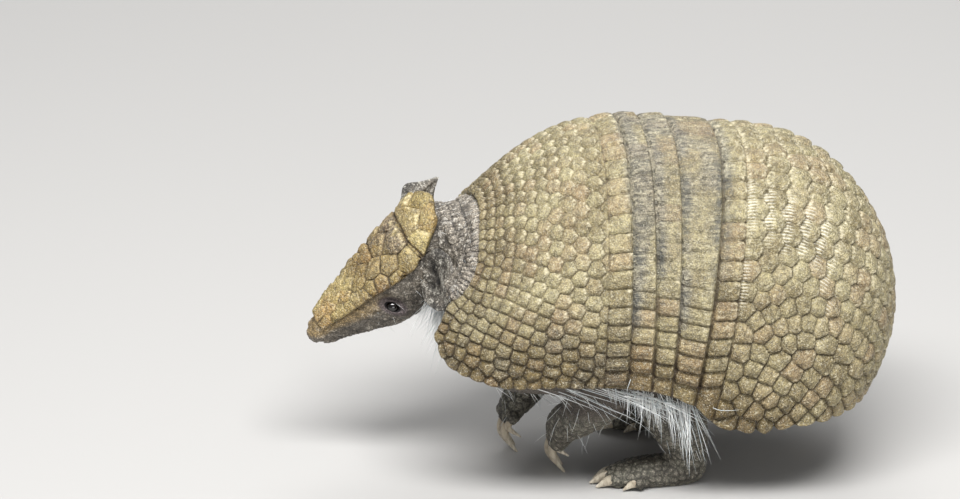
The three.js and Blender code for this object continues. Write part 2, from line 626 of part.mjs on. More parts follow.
// The origin is on the floor under the middle of the animal.
const box = new THREE.Box3().setFromObject(armadillo);
const centre = box.getCenter(new THREE.Vector3());
armadillo.children.forEach((mesh) => mesh.geometry.translate(-centre.x, -centre.y, 0));

export default armadillo;
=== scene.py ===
# A Brazilian three-banded armadillo, life size, finished as a museum model.
# Shapes are worked out in millimetres, with the ridge of the first band line at x = 0 and the
# head along -X, and are then moved into the frame, which is in metres.

import itertools
import math

import bmesh
import bpy
import numpy as np
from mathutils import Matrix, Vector
from mathutils.kdtree import KDTree


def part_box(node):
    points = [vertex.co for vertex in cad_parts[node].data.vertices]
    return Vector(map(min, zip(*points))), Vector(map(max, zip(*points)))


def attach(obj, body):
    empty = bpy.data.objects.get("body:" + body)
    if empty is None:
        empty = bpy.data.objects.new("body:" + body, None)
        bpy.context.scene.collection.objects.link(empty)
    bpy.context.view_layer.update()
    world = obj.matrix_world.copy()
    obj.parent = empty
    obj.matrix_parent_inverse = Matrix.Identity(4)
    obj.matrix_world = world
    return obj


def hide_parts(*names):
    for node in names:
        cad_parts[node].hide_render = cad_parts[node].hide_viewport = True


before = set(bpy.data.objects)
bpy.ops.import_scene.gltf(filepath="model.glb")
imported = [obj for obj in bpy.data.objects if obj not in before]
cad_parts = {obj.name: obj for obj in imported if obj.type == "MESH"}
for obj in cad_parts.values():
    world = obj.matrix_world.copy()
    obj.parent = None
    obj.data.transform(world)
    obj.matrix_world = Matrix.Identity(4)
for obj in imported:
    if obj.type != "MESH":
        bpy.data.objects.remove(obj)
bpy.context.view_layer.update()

MM = 0.001
RNG = np.random.default_rng(7)
SIDES = {"left": 1, "right": -1}

# ---------- driving dimensions, as in the CAD part ----------

SHELL_POWER = 2.3
SHELL_TUCK, SHELL_TUCK_START = 0.07, 0.7
RIDGE_STATIONS = [0, 0.33, 0.67, 1, 4 / 3, 5 / 3, 2]
RIDGE = [[-60, 114], [-42, 131.5], [-21, 143.5], [0, 147], [9.3, 146.3], [21, 145.2], [39, 142]]
EDGE_STATIONS = [0, 0.12, 0.33, 0.67, 1, 4 / 3, 5 / 3, 2]
EDGE = [[-81, 79], [-77.5, 66], [-61, 57], [-30, 55.5], [-4, 54], [5.5, 52.5], [13.5, 50], [23, 45.5]]
HALF_WIDTH_STATIONS = [0, 0.35, 0.7, 1, 1.5, 2, 2.5, 3]
HALF_WIDTH = [40, 54, 59, 60, 60.5, 61, 62, 60]
RUMP_POLE = [38, 38]
RUMP_STATIONS = [0, 0.25, 0.5, 0.75, 1]
RUMP_ANGLES = [0.55, 23, 46, 69, 91]
RUMP_RADII = [104, 103.5, 94.5, 80.5, 64.5]
RUMP_EDGE_STATIONS = [0, 0.3, 0.6, 1]
RUMP_EDGE = [[23, 45.5], [32, 37], [43, 34.5], [52, 35]]
TAIL_NOTCH_DEPTH, TAIL_NOTCH_SPREAD = 0.14, 0.105
BAND_COUNT = 3

HEAD_ORIGIN = np.array([-80.5, 0, 115.5])
HEAD_PITCH, HEAD_YAW, HEAD_ROLL = (math.radians(a) for a in (47.5, -4, 24))
HEAD_STATIONS = [0, 14, 28, 40, 52, 63, 71, 74]
HEAD_HALF_WIDTH = [15.5, 17, 17, 15.2, 11.2, 7.6, 5.4, 4]
HEAD_DEPTH = [27, 30, 28.5, 25, 19.5, 14, 10, 7.5]
HEAD_UPPER_SHARE, HEAD_POWER, THROAT_LEAN = 0.45, 2.4, 0.55
HEAD_SHIELD_THICKNESS, HEAD_SHIELD_FRONT, HEAD_SHIELD_REAR = 1.8, 66, -4.5
HEAD_SHIELD_CORNER, HEAD_SHIELD_CORNER_POWER = 16, 2.5
HEAD_SHIELD_STATIONS = [-4.5, 20, 40, 56, 66]
HEAD_SHIELD_REACH = [0.7, 0.64, 0.52, 0.52, 0.5]
CLEARANCE = 0.3
EYE_RADIUS, EYE_CENTRE = 2.9, (39, -14.6, 13.4)

# ---------- curves, noise and small helpers ----------


def curve(stations, values):
    """A smooth curve through values at uneven stations, which takes arrays."""
    s = np.array(stations, float)
    v = np.array(values, float).reshape(len(s), -1)
    steps = np.diff(s)[:, None]
    slopes = np.diff(v, axis=0) / steps
    inner = (slopes[:-1] * steps[1:] + slopes[1:] * steps[:-1]) / (steps[:-1] + steps[1:])
    m = np.vstack([slopes[:1], inner, slopes[-1:]])

    def at(t):
        t = np.clip(np.asarray(t, float), s[0], s[-1])
        i = np.clip(np.searchsorted(s, t, side="right") - 1, 0, len(s) - 2)
        h = steps[i]
        x = (t - s[i])[..., None] / h
        start = (2 * x**3 - 3 * x**2 + 1) * v[i] + (3 * x**2 - 2 * x**3) * v[i + 1]
        out = start + (x**3 - 2 * x**2 + x) * h * m[i] + (x**3 - x**2) * h * m[i + 1]
        return out[..., 0] if v.shape[1] == 1 else out

    return at


def smooth(low, high, x):
    """0 below low, 1 above high, and a soft step between."""
    x = np.clip((np.asarray(x, float) - low) / (high - low), 0, 1)
    return x * x * (3 - 2 * x)


def bell(x, width):
    return np.exp(-((x / width) ** 2))


def unit(vectors):
    return vectors / np.maximum(np.linalg.norm(vectors, axis=-1, keepdims=True), 1e-12)


def lattice(cells, seed):
    """A repeatable random number from 0 to 1 for each whole-number cell."""
    x, y, z = (cells[..., k].astype(np.int64) for k in range(3))
    h = (x * 73856093) ^ (y * 19349663) ^ (z * 83492791) ^ (seed * 2654435761)
    h = ((h ^ (h >> 13)) * 1274126177) & 0xFFFFFFFF
    return ((h ^ (h >> 15)) & 0xFFFF) / 0xFFFF


def noise(points, size, seed=0):
    """Smooth noise from -1 to 1 with lumps about size millimetres across."""
    p = np.asarray(points, float) / size
    low = np.floor(p)
    f = p - low
    f = f * f * (3 - 2 * f)
    total = np.zeros(p.shape[:-1])
    for corner in itertools.product((0, 1), repeat=3):
        weight = np.prod(np.where(corner, f, 1 - f), axis=-1)
        total += weight * lattice(low + corner, seed)
    return 2 * total - 1


def pebbles(points, size, seed=0):
    """Distance to the nearest and second nearest of a jittered lattice of centres, in cells."""
    p = np.asarray(points, float) / size
    low = np.floor(p)
    near = np.full(p.shape[:-1], 9.0)
    second = near.copy()
    for step in itertools.product((-1, 0, 1), repeat=3):
        cell = low + step
        jitter = np.stack([lattice(cell, seed + k) for k in range(3)], axis=-1)
        d = np.linalg.norm(cell + 0.15 + 0.7 * jitter - p, axis=-1)
        second = np.minimum(second, np.maximum(near, d))
        near = np.minimum(near, d)
    return near, second


def set_attributes(mesh, attributes):
    """Gives every point of a mesh numbers with names, which the materials read."""
    for key, values in attributes.items():
        layer = mesh.attributes.new(key, "FLOAT", "POINT")
        layer.data.foreach_set("value", np.asarray(values, np.float32).ravel())


def mesh_piece(name, points, faces, material, attributes=None):
    """A new mesh object from points in millimetres, with smooth faces and point attributes."""
    mesh = bpy.data.meshes.new(name)
    placed = (np.asarray(points, float).reshape(-1, 3) + FRAME_OFFSET) * MM
    mesh.from_pydata(placed.tolist(), [], faces)
    mesh.shade_smooth()
    set_attributes(mesh, attributes or {})
    mesh.materials.append(material)
    obj = bpy.data.objects.new(name, mesh)
    bpy.context.scene.collection.objects.link(obj)
    return obj


def mesh_array(items, field, width, kind=np.float32):
    """One field of all vertices, edges, faces or corners of a mesh."""
    flat = np.empty(len(items) * width, kind)
    items.foreach_get(field, flat)
    return flat.reshape(-1, width)


def vertex_array(mesh):
    return mesh_array(mesh.vertices, "co", 3) / MM - FRAME_OFFSET


def set_vertices(mesh, points):
    mesh.vertices.foreach_set("co", ((points + FRAME_OFFSET) * MM).astype(np.float32).ravel())
    mesh.update()


def nearest_finder(places):
    """A search tree of places, which gives back their numbers."""
    tree = KDTree(len(places))
    for i, place in enumerate(places):
        tree.insert(place, i)
    tree.balance()
    return tree


def quads(rows, columns, wrap_rows=False, wrap_columns=False):
    """Faces of a grid of points that is stored row by row."""
    r = np.arange(rows if wrap_rows else rows - 1)[:, None]
    c = np.arange(columns if wrap_columns else columns - 1)[None, :]
    r1, c1 = (r + 1) % rows, (c + 1) % columns
    corners = [r * columns + c, r * columns + c1, r1 * columns + c1, r1 * columns + c]
    return np.stack(np.broadcast_arrays(*corners), axis=-1).reshape(-1, 4)


def along_rows(grid, axis):
    """How far each point of a grid is from the grid's start along an axis, over the surface."""
    steps = np.linalg.norm(np.diff(grid, axis=axis), axis=-1)
    start = np.zeros_like(np.take(steps, [0], axis=axis))
    return np.concatenate([start, np.cumsum(steps, axis=axis)], axis=axis)


def on_grid(grid, along, across):
    """Points between the points of a grid: along picks the row and across the column, from 0 to 1."""
    rows, columns = grid.shape[0] - 1, grid.shape[1] - 1
    r, c = np.clip(along, 0, 1) * rows, np.clip(across, 0, 1) * columns
    i, j = np.minimum(r.astype(int), rows - 1), np.minimum(c.astype(int), columns - 1)
    fr, fc = (r - i)[..., None], (c - j)[..., None]
    top = grid[i, j] * (1 - fc) + grid[i, j + 1] * fc
    low = grid[i + 1, j] * (1 - fc) + grid[i + 1, j + 1] * fc
    return top * (1 - fr) + low * fr


# ---------- the shape of the shell ----------

ridge_curve = curve(RIDGE_STATIONS, RIDGE)
edge_curve = curve(EDGE_STATIONS, EDGE)
half_width_at = curve(HALF_WIDTH_STATIONS, HALF_WIDTH)
rump_angle_at = curve(RUMP_STATIONS, RUMP_ANGLES)
rump_radius_at = curve(RUMP_STATIONS, RUMP_RADII)
rump_edge_curve = curve(RUMP_EDGE_STATIONS, RUMP_EDGE)


def ridge_point(t):
    angle, radius = np.radians(rump_angle_at(t - 2)), rump_radius_at(t - 2)
    rump = np.stack([RUMP_POLE[0] + radius * np.sin(angle), RUMP_POLE[1] + radius * np.cos(angle)], -1)
    return np.where((t <= 2)[..., None], ridge_curve(t), rump)


def edge_point(t):
    return np.where((t <= 2)[..., None], edge_curve(t), rump_edge_curve(t - 2))


def arc(trig, angle, power):
    return np.clip(trig(angle), 0, 1) ** (2 / power)


def shell_point(t, flank):
    """The outside of the shell: station t, and flank from -1 at the left edge over the ridge to 1."""
    t, flank = np.broadcast_arrays(np.asarray(t, float), np.asarray(flank, float))
    angle = np.abs(flank) * np.pi / 2
    ridge, edge = ridge_point(t), edge_point(t)
    rise = arc(np.cos, angle, SHELL_POWER)
    towards_edge = np.maximum(0, np.abs(flank) - SHELL_TUCK_START) / (1 - SHELL_TUCK_START)
    side = half_width_at(t) * arc(np.sin, angle, SHELL_POWER) * (1 - SHELL_TUCK * towards_edge**2)
    middle = edge + (ridge - edge) * rise[..., None]
    return np.stack([middle[..., 0], np.sign(flank) * side, middle[..., 1]], -1)


def shell_front(flank):
    f = np.abs(flank)
    return 0.03 + 0.06 * bell(f - 0.6, 0.2) - 0.03 * bell(f - 0.85, 0.08)


def shell_rear(flank):
    return 3 - TAIL_NOTCH_DEPTH * bell(flank, TAIL_NOTCH_SPREAD)


def flat_station(t):
    return lambda flank: np.full_like(flank, t)


def shell_grid(front_at, rear_at, rows, columns):
    """Points of a shield, row by row from its front edge, each row evenly spaced from left to right."""
    fine = np.sin(np.linspace(-1, 1, 6 * columns + 1) * np.pi / 2)
    grid = []
    for share in np.linspace(0, 1, rows + 1):
        t = front_at(fine) + (rear_at(fine) - front_at(fine)) * share
        line = shell_point(t, fine)
        run = along_rows(line, 0)
        even = np.interp(np.linspace(0, run[-1], columns + 1), run, fine)
        t = front_at(even) + (rear_at(even) - front_at(even)) * share
        grid.append(shell_point(t, even))
    return np.array(grid)


def grid_normals(grid, inside):
    """Unit normals of a grid that point away from a point inside it."""
    normals = unit(np.cross(np.gradient(grid, axis=1), np.gradient(grid, axis=0)))
    return normals * np.sign(np.median(np.sum(normals * (grid - inside), axis=-1)))


# ---------- the shape of the head ----------

pitch_sin, pitch_cos = math.sin(HEAD_PITCH), math.cos(HEAD_PITCH)
yaw_sin, yaw_cos = math.sin(HEAD_YAW), math.cos(HEAD_YAW)
head_u = np.array([-pitch_cos * yaw_cos, -pitch_cos * yaw_sin, -pitch_sin])
level_v = np.array([-pitch_sin * yaw_cos, -pitch_sin * yaw_sin, pitch_cos])
level_w = np.array([yaw_sin, -yaw_cos, 0])
head_v = level_v * math.cos(HEAD_ROLL) + level_w * math.sin(HEAD_ROLL)
head_w = level_w * math.cos(HEAD_ROLL) - level_v * math.sin(HEAD_ROLL)
head_half_width_at = curve(HEAD_STATIONS, HEAD_HALF_WIDTH)
head_depth_at = curve(HEAD_STATIONS, HEAD_DEPTH)
head_shield_reach_at = curve(HEAD_SHIELD_STATIONS, HEAD_SHIELD_REACH)


def head_place(u, v, w):
    u, v, w = (np.asarray(x, float)[..., None] for x in (u, v, w))
    return HEAD_ORIGIN + u * head_u + v * head_v + w * head_w


def head_coordinates(points):
    """(u, v, w) of points: towards the nose, up from the forehead, and to the animal's left."""
    local = points - HEAD_ORIGIN
    return local @ head_u, local @ head_v, local @ head_w


def head_point(u, angle, grow=0.0):
    """A point round the head at station u. The angle is 0 on the crown and pi on the throat."""
    u, angle = np.broadcast_arrays(np.asarray(u, float), np.asarray(angle, float))
    turn = np.abs(angle)
    half = head_half_width_at(u) + grow
    upper = head_depth_at(u) * HEAD_UPPER_SHARE
    lower = head_depth_at(u) - upper
    below = turn > np.pi / 2
    folded = np.where(below, np.pi - turn, turn)
    height = np.where(below, -(lower + grow), upper + grow) * arc(np.cos, folded, HEAD_POWER)
    v = height - upper - CLEARANCE - HEAD_SHIELD_THICKNESS
    lean = THROAT_LEAN * (1 - np.maximum(u, 0) / HEAD_STATIONS[-1])
    return head_place(u - lean * v, v, np.sign(angle) * half * arc(np.sin, folded, HEAD_POWER))


# ---------- the shape of the legs, ears and tail ----------

FORELEG_PATH = [[-10, -31, 62], [-9, -33, 48], [-17, -27, 33], [-24, -17, 23], [-26, -12.5, 16.5]]
FORELEG_RADII = [[15, 12], [13.5, 11], [9.5, 8.5], [7, 8.5], [4.6, 8.6]]
SHANK_PATH = [[22, -30, 52], [19, -31, 36], [24, -30, 19], [26, -29, 5]]
SHANK_RADII = [[15, 12], [14, 11], [9.5, 8.5], [7, 6.5]]
FOOT_PATH = [[31, -29, 5], [23, -29, 5.4], [12, -28.6, 5.2], [2, -28, 4.4], [-6, -28, 3.2]]
FOOT_RADII = [[4, 4.6], [6.4, 6.6], [6.2, 8], [5, 8.6], [3.2, 6.4]]
FORELEG_STEPS = {1: 0, -1: -17}  # how far each forefoot is set along the body; 1 is the left side
HINDLEG_STEPS = {1: 0, -1: 9}
DIGITS = 5

FORECLAW_LENGTHS, FORECLAW_WIDTHS = [9.5, 18.6, 19, 18.6, 9], [2.4, 3, 3.4, 3, 2.4]
FOREPAW_MIDDLE, FORECLAW_SPACING = 11, 3.7
FORECLAW_ROOT, FORECLAW_ROOT_STEP = np.array([-26.4, 18.6]), np.array([0.9, -0.3])
FORECLAW_BOW, FORECLAW_TIP_BACK = -3, 2.2
HINDCLAW_LENGTHS, HINDCLAW_WIDTHS = [7.5, 10, 11, 10, 7.5], [3, 3.8, 4, 3.8, 3]
HINDCLAW_SETBACK, HINDCLAW_SPREAD = [9, 1, 0, 1, 9], [-8.6, -4.3, 0, 4.3, 8.6]
HINDPAW_MIDDLE, HINDCLAW_ROOT = 28, np.array([-3.6, 3.8])
HINDCLAW_BEND_HEIGHT, HINDCLAW_TIP_HEIGHT = 3.2, 0.9
CLAW_DEPTH = 1.35

TAIL_PATH = [[91, 0, 52], [98.5, 0, 43], [96.5, 0, 31], [84, 1, 21.5], [66, 2, 18.5], [50, 3, 19]]
TAIL_RADII = [8.4, 8, 7.4, 6.2, 4.4, 1.4]

EAR_ROOT = (18, -13, 15.8)
EAR_LENGTH, EAR_THICKNESS, EAR_CUP, EAR_CUP_START, EAR_TIP_CURL = 24, 1.5, 3, 0.2, 2
EAR_STATIONS, EAR_HALF_WIDTHS = [0, 0.2, 0.55, 0.85, 1], [5, 9.5, 12, 9, 3]
EAR_LIE = {
    1: {"along": [0.42, -0.9, 0.1], "wide": [0.15, 0.1, 1], "point": 0},
    -1: {"along": [0.62, 0.55, 0.5], "wide": [-0.4, 0, 0.9], "point": 1},
}


DOME_RINGS, DOME_TURN = 6, 0.985  # rings of a rounded end, and the share of a quarter turn they take


def limb(path, radii, rows, sides, end=None):
    """Rings of an elliptical section across a smooth path, from its start to a station of it."""
    stations = np.arange(len(path))
    centre_at, radius_at = curve(stations, path), curve(stations, radii)
    t = np.linspace(0, stations[-1] if end is None else end, rows)
    angle = np.linspace(0, 2 * np.pi, sides, endpoint=False)
    along = unit(centre_at(t + 0.05) - centre_at(t - 0.05))
    deep = unit(np.cross(along, (0, 1, 0)))
    wide = np.cross(deep, along)
    radius = radius_at(t)
    if radius.ndim == 1:
        radius = np.stack([radius, radius], -1)
    swing_deep = deep[:, None] * (radius[:, None, :1] * np.cos(angle)[:, None])
    swing_wide = wide[:, None] * (radius[:, None, 1:] * np.sin(angle)[:, None])
    return centre_at(t)[:, None] + (swing_deep + swing_wide)


def dome(ring, beside, reach):
    """Shrinking rings beyond the last ring of a tube, which close it."""
    middle = ring.mean(0)
    outward = unit(middle - beside.mean(0)) * np.linalg.norm(ring - middle, axis=-1).mean() * reach
    turns = np.linspace(0, math.pi / 2, DOME_RINGS + 1)[1:] * DOME_TURN
    return np.array([middle + (ring - middle) * math.cos(a) + outward * math.sin(a) for a in turns])


def rounded_ends(rings, start=True, reach=0.5):
    """A tube with a dome at its end, and at its start if that is wanted."""
    parts = [rings, dome(rings[-1], rings[-2], reach)]
    if start:
        parts.insert(0, dome(rings[0], rings[1], reach)[::-1])
    return np.concatenate(parts)


def tube(rings):
    """Points and faces of a closed tube of rings, with its two ends filled."""
    rows, columns = rings.shape[:2]
    faces = quads(rows, columns, wrap_columns=True).tolist()
    ends = [list(range(columns))[::-1], list(range((rows - 1) * columns, rows * columns))]
    return rings.reshape(-1, 3), faces + ends


def on_side(path, side):
    return path if side > 0 else [[x, -y, z] for x, y, z in path]


def stride(path, step):
    """Moves the far end of a path along the body, and the rest of it in proportion."""
    return [[x + step * i / (len(path) - 1), y, z] for i, (x, y, z) in enumerate(path)]


def foreleg_path(side):
    return stride(on_side(FORELEG_PATH, side), FORELEG_STEPS[side])


def shank_path(side):
    return stride(on_side(SHANK_PATH, side), HINDLEG_STEPS[side])


def foot_path(side):
    return [[x + HINDLEG_STEPS[side], y, z] for x, y, z in on_side(FOOT_PATH, side)]


def foreclaw_path(side, digit):
    length, away = FORECLAW_LENGTHS[digit], abs(digit - 2)
    y = -side * (FOREPAW_MIDDLE + (digit - 2) * FORECLAW_SPACING)
    x, z = FORECLAW_ROOT + away * FORECLAW_ROOT_STEP
    x += FORELEG_STEPS[side]
    return [[x, y, z], [x + FORECLAW_BOW, y, z - length / 2], [x + FORECLAW_TIP_BACK, y, z - length]]


def hindclaw_path(side, digit):
    length = HINDCLAW_LENGTHS[digit]
    y = -side * (HINDPAW_MIDDLE + HINDCLAW_SPREAD[digit])
    x = HINDCLAW_ROOT[0] + HINDCLAW_SETBACK[digit] + HINDLEG_STEPS[side]
    bend, tip = [x - length / 2, y, HINDCLAW_BEND_HEIGHT], [x - length, y, HINDCLAW_TIP_HEIGHT]
    return [[x, y, HINDCLAW_ROOT[1]], bend, tip]


# ---------- the frame ----------

eye_low, eye_high = (np.array(corner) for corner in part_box("eye_left"))
FRAME_OFFSET = (eye_low + eye_high) / 2 / MM - head_place(*EYE_CENTRE)

# ---------- camera, floor and light ----------

CAMERA_AZIMUTH, CAMERA_ELEVATION = math.radians(-7), math.radians(22)
CAMERA_DISTANCE = 1600
CAMERA_AIM = (-56.67, 1.44, 94.54)
CAMERA_LENS, SENSOR_WIDTH, CAMERA_CLIP = 147, 36, (0.05, 50)
FLOOR_SIZE = 12
FLOOR_COLOUR = (0.50, 0.49, 0.475)
WORLD_COLOUR, WORLD_STRENGTH = (0.93, 0.96, 1.0, 1), 0.24
LIGHT_TARGET = Vector((0, 0, 0.07))

# Each light's azimuth and elevation in degrees, distance, width and height in metres, and watts.
LIGHTS = {
    "key": (-14, 61, 1.5, 1.3, 0.42, 37),
    "fill": (8, 9, 1.7, 1.2, 0.3, 5.5),
    "back": (165, 50, 1.6, 1.0, 1.0, 11),
}


def direction(azimuth, elevation):
    """From the middle of the model: azimuth 0 is towards -Y and 90 towards +X, in radians."""
    flat = math.cos(elevation)
    return Vector((math.sin(azimuth) * flat, -math.cos(azimuth) * flat, math.sin(elevation)))


def aim_at(obj, place, target):
    obj.location = place
    obj.rotation_euler = (target - place).to_track_quat("-Z", "Y").to_euler()


def make_camera():
    camera = bpy.data.objects.new("camera", bpy.data.cameras.new("camera"))
    camera.data.lens, camera.data.sensor_width = CAMERA_LENS, SENSOR_WIDTH
    camera.data.clip_start, camera.data.clip_end = CAMERA_CLIP
    aim = Vector((np.array(CAMERA_AIM) + FRAME_OFFSET) * MM)
    back = direction(CAMERA_AZIMUTH, CAMERA_ELEVATION)
    aim_at(camera, aim + back * CAMERA_DISTANCE * MM, aim)
    bpy.context.scene.collection.objects.link(camera)
    bpy.context.scene.camera = camera


def make_lights():
    """Three soft rectangular lights that look at the model, in a pale world."""
    for name, (azimuth, elevation, distance, width, height, power) in LIGHTS.items():
        data = bpy.data.lights.new(name, "AREA")
        data.shape, data.size, data.size_y, data.energy = "RECTANGLE", width, height, power
        obj = bpy.data.objects.new(name, data)
        towards = direction(math.radians(azimuth), math.radians(elevation))
        aim_at(obj, LIGHT_TARGET + towards * distance, LIGHT_TARGET)
        bpy.context.scene.collection.objects.link(obj)
    world = bpy.data.worlds.new("studio")
    world.use_nodes = True
    background = world.node_tree.nodes["Background"]
    background.inputs["Color"].default_value = WORLD_COLOUR
    background.inputs["Strength"].default_value = WORLD_STRENGTH
    bpy.context.scene.world = world
    bpy.context.scene.view_settings.view_transform = "Standard"


def make_floor():
    mesh = bpy.data.meshes.new("floor")
    h = FLOOR_SIZE / 2
    mesh.from_pydata([(-h, -h, 0), (h, -h, 0), (h, h, 0), (-h, h, 0)], [], [(0, 1, 2, 3)])
    floor = bpy.data.objects.new("floor", mesh)
    bpy.context.scene.collection.objects.link(floor)
    mesh.materials.append(Paint("floor").surface(FLOOR_COLOUR, 0.9))


# ---------- materials ----------


class Value:
    """An output of a material's nodes, which takes +, - and * as math nodes."""

    def __init__(self, paint, socket):
        self.paint, self.socket = paint, socket

    def __add__(self, other):
        return self.paint.math("ADD", self, other)

    def __sub__(self, other):
        return self.paint.math("SUBTRACT", self, other)

    def __mul__(self, other):
        return self.paint.math("MULTIPLY", self, other)

    def clamped(self):
        self.socket.node.use_clamp = True
        return self


class Paint:
    """Builds one material's nodes. Sizes are in millimetres of the object's own space."""

    def __init__(self, name):
        self.material = bpy.data.materials.new(name)
        self.material.use_nodes = True
        self.tree = self.material.node_tree
        self.shader = self.tree.nodes["Principled BSDF"]
        self.position = None

    def feed(self, socket, value):
        if isinstance(value, Value):
            self.tree.links.new(value.socket, socket)
        elif isinstance(value, tuple) and len(value) == 3 and socket.type == "RGBA":
            socket.default_value = (*value, 1)
        else:
            socket.default_value = value

    def node(self, kind, output, inputs=None, **settings):
        """A new node's output, with the node's inputs fed and its settings made."""
        node = self.tree.nodes.new(kind)
        for key, value in settings.items():
            setattr(node, key, value)
        for key, value in (inputs or {}).items():
            self.feed(node.inputs[key], value)
        return Value(self, node.outputs[output])

    def place(self, stretch=None):
        self.position = self.position or self.node("ShaderNodeTexCoord", "Object")
        if stretch is None:
            return self.position
        return self.node("ShaderNodeMapping", "Vector", {"Vector": self.position, "Scale": stretch})

    def attributes(self, *names):
        return [self.node("ShaderNodeAttribute", "Fac", attribute_name=name) for name in names]

    def math(self, operation, a, b=0.0):
        return self.node("ShaderNodeMath", 0, {0: a, 1: b}, operation=operation)

    def ramp(self, value, low, high, to_low=0.0, to_high=1.0):
        """value between low and high becomes a soft step between to_low and to_high."""
        inputs = dict(enumerate((value, low, high, to_low, to_high)))
        return self.node("ShaderNodeMapRange", 0, inputs, interpolation_type="SMOOTHSTEP")

    def mix(self, share, a, b, blend="MIX"):
        return self.node("ShaderNodeMix", 2, {0: share, 6: a, 7: b}, data_type="RGBA", blend_type=blend)

    def over(self, base, *layers):
        """Lays colours over a base, each as strongly as the share that is given with it."""
        for share, colour in layers:
            base = self.mix(share, base, colour)
        return base

    def lit(self, colour, brightness):
        """A colour times a brightness."""
        grey = self.node("ShaderNodeCombineColor", 0, {i: brightness for i in range(3)})
        return self.mix(1.0, colour, grey, "MULTIPLY")

    def noise(self, size, detail=2.0, roughness=0.55, stretch=None):
        inputs = {"Vector": self.place(stretch), "Scale": 1 / (size * MM)}
        return self.node("ShaderNodeTexNoise", "Fac", inputs | {"Detail": detail, "Roughness": roughness})

    def cells(self, size):
        inputs = {"Vector": self.place(), "Scale": 1 / (size * MM)}
        return self.node("ShaderNodeTexVoronoi", "Distance", inputs)

    def bump(self, height, distance, strength):
        inputs = {"Strength": strength, "Distance": distance * MM, "Height": height}
        return self.node("ShaderNodeBump", "Normal", inputs)

    def surface(self, colour, roughness, **inputs):
        for key, value in {"Base Color": colour, "Roughness": roughness, **inputs}.items():
            self.feed(self.shader.inputs[key.replace("_", " ")], value)
        return self.material


GREY_SKIN = (0.262, 0.250, 0.208)
SEAM_SKIN = (0.092, 0.094, 0.084)
# Dark grooves between plates: dirt in the joints, with painted shade.
GROOVE_DIRT_AND_SHADE = (0.052, 0.034, 0.018)
# A painted highlight: glints on the horn and the white along its ribs.
PAINTED_HIGHLIGHT = (0.86, 0.82, 0.70)
# In both colour sets, rim is the colour of pale plate rims, partly their own tone and partly a painted
# highlight, and of painted sparkles.
SHELL_COLOURS = {
    "dull": (0.235, 0.190, 0.094),
    "bright": (0.395, 0.342, 0.190),
    "warm": (0.37, 0.255, 0.145),
    "grey": GREY_SKIN,
    "rim": (0.76, 0.69, 0.49),
}
HEAD_COLOURS = {
    "dull": (0.32, 0.230, 0.080),
    "bright": (0.485, 0.390, 0.165),
    "warm": (0.46, 0.27, 0.10),
    "grey": (0.27, 0.215, 0.17),
    "rim": (0.80, 0.68, 0.40),
}
DARK_TONE_AND_SHADE = (0.47, 0.395, 0.27)  # what the colours of the lowest plates are multiplied by: painted shade, and elsewhere a darker tone
RIB_PITCH = 1.3
HORN_VALUES = ("edge", "tint", "low", "grey", "lip", "rib", "across", "flute", "seam")


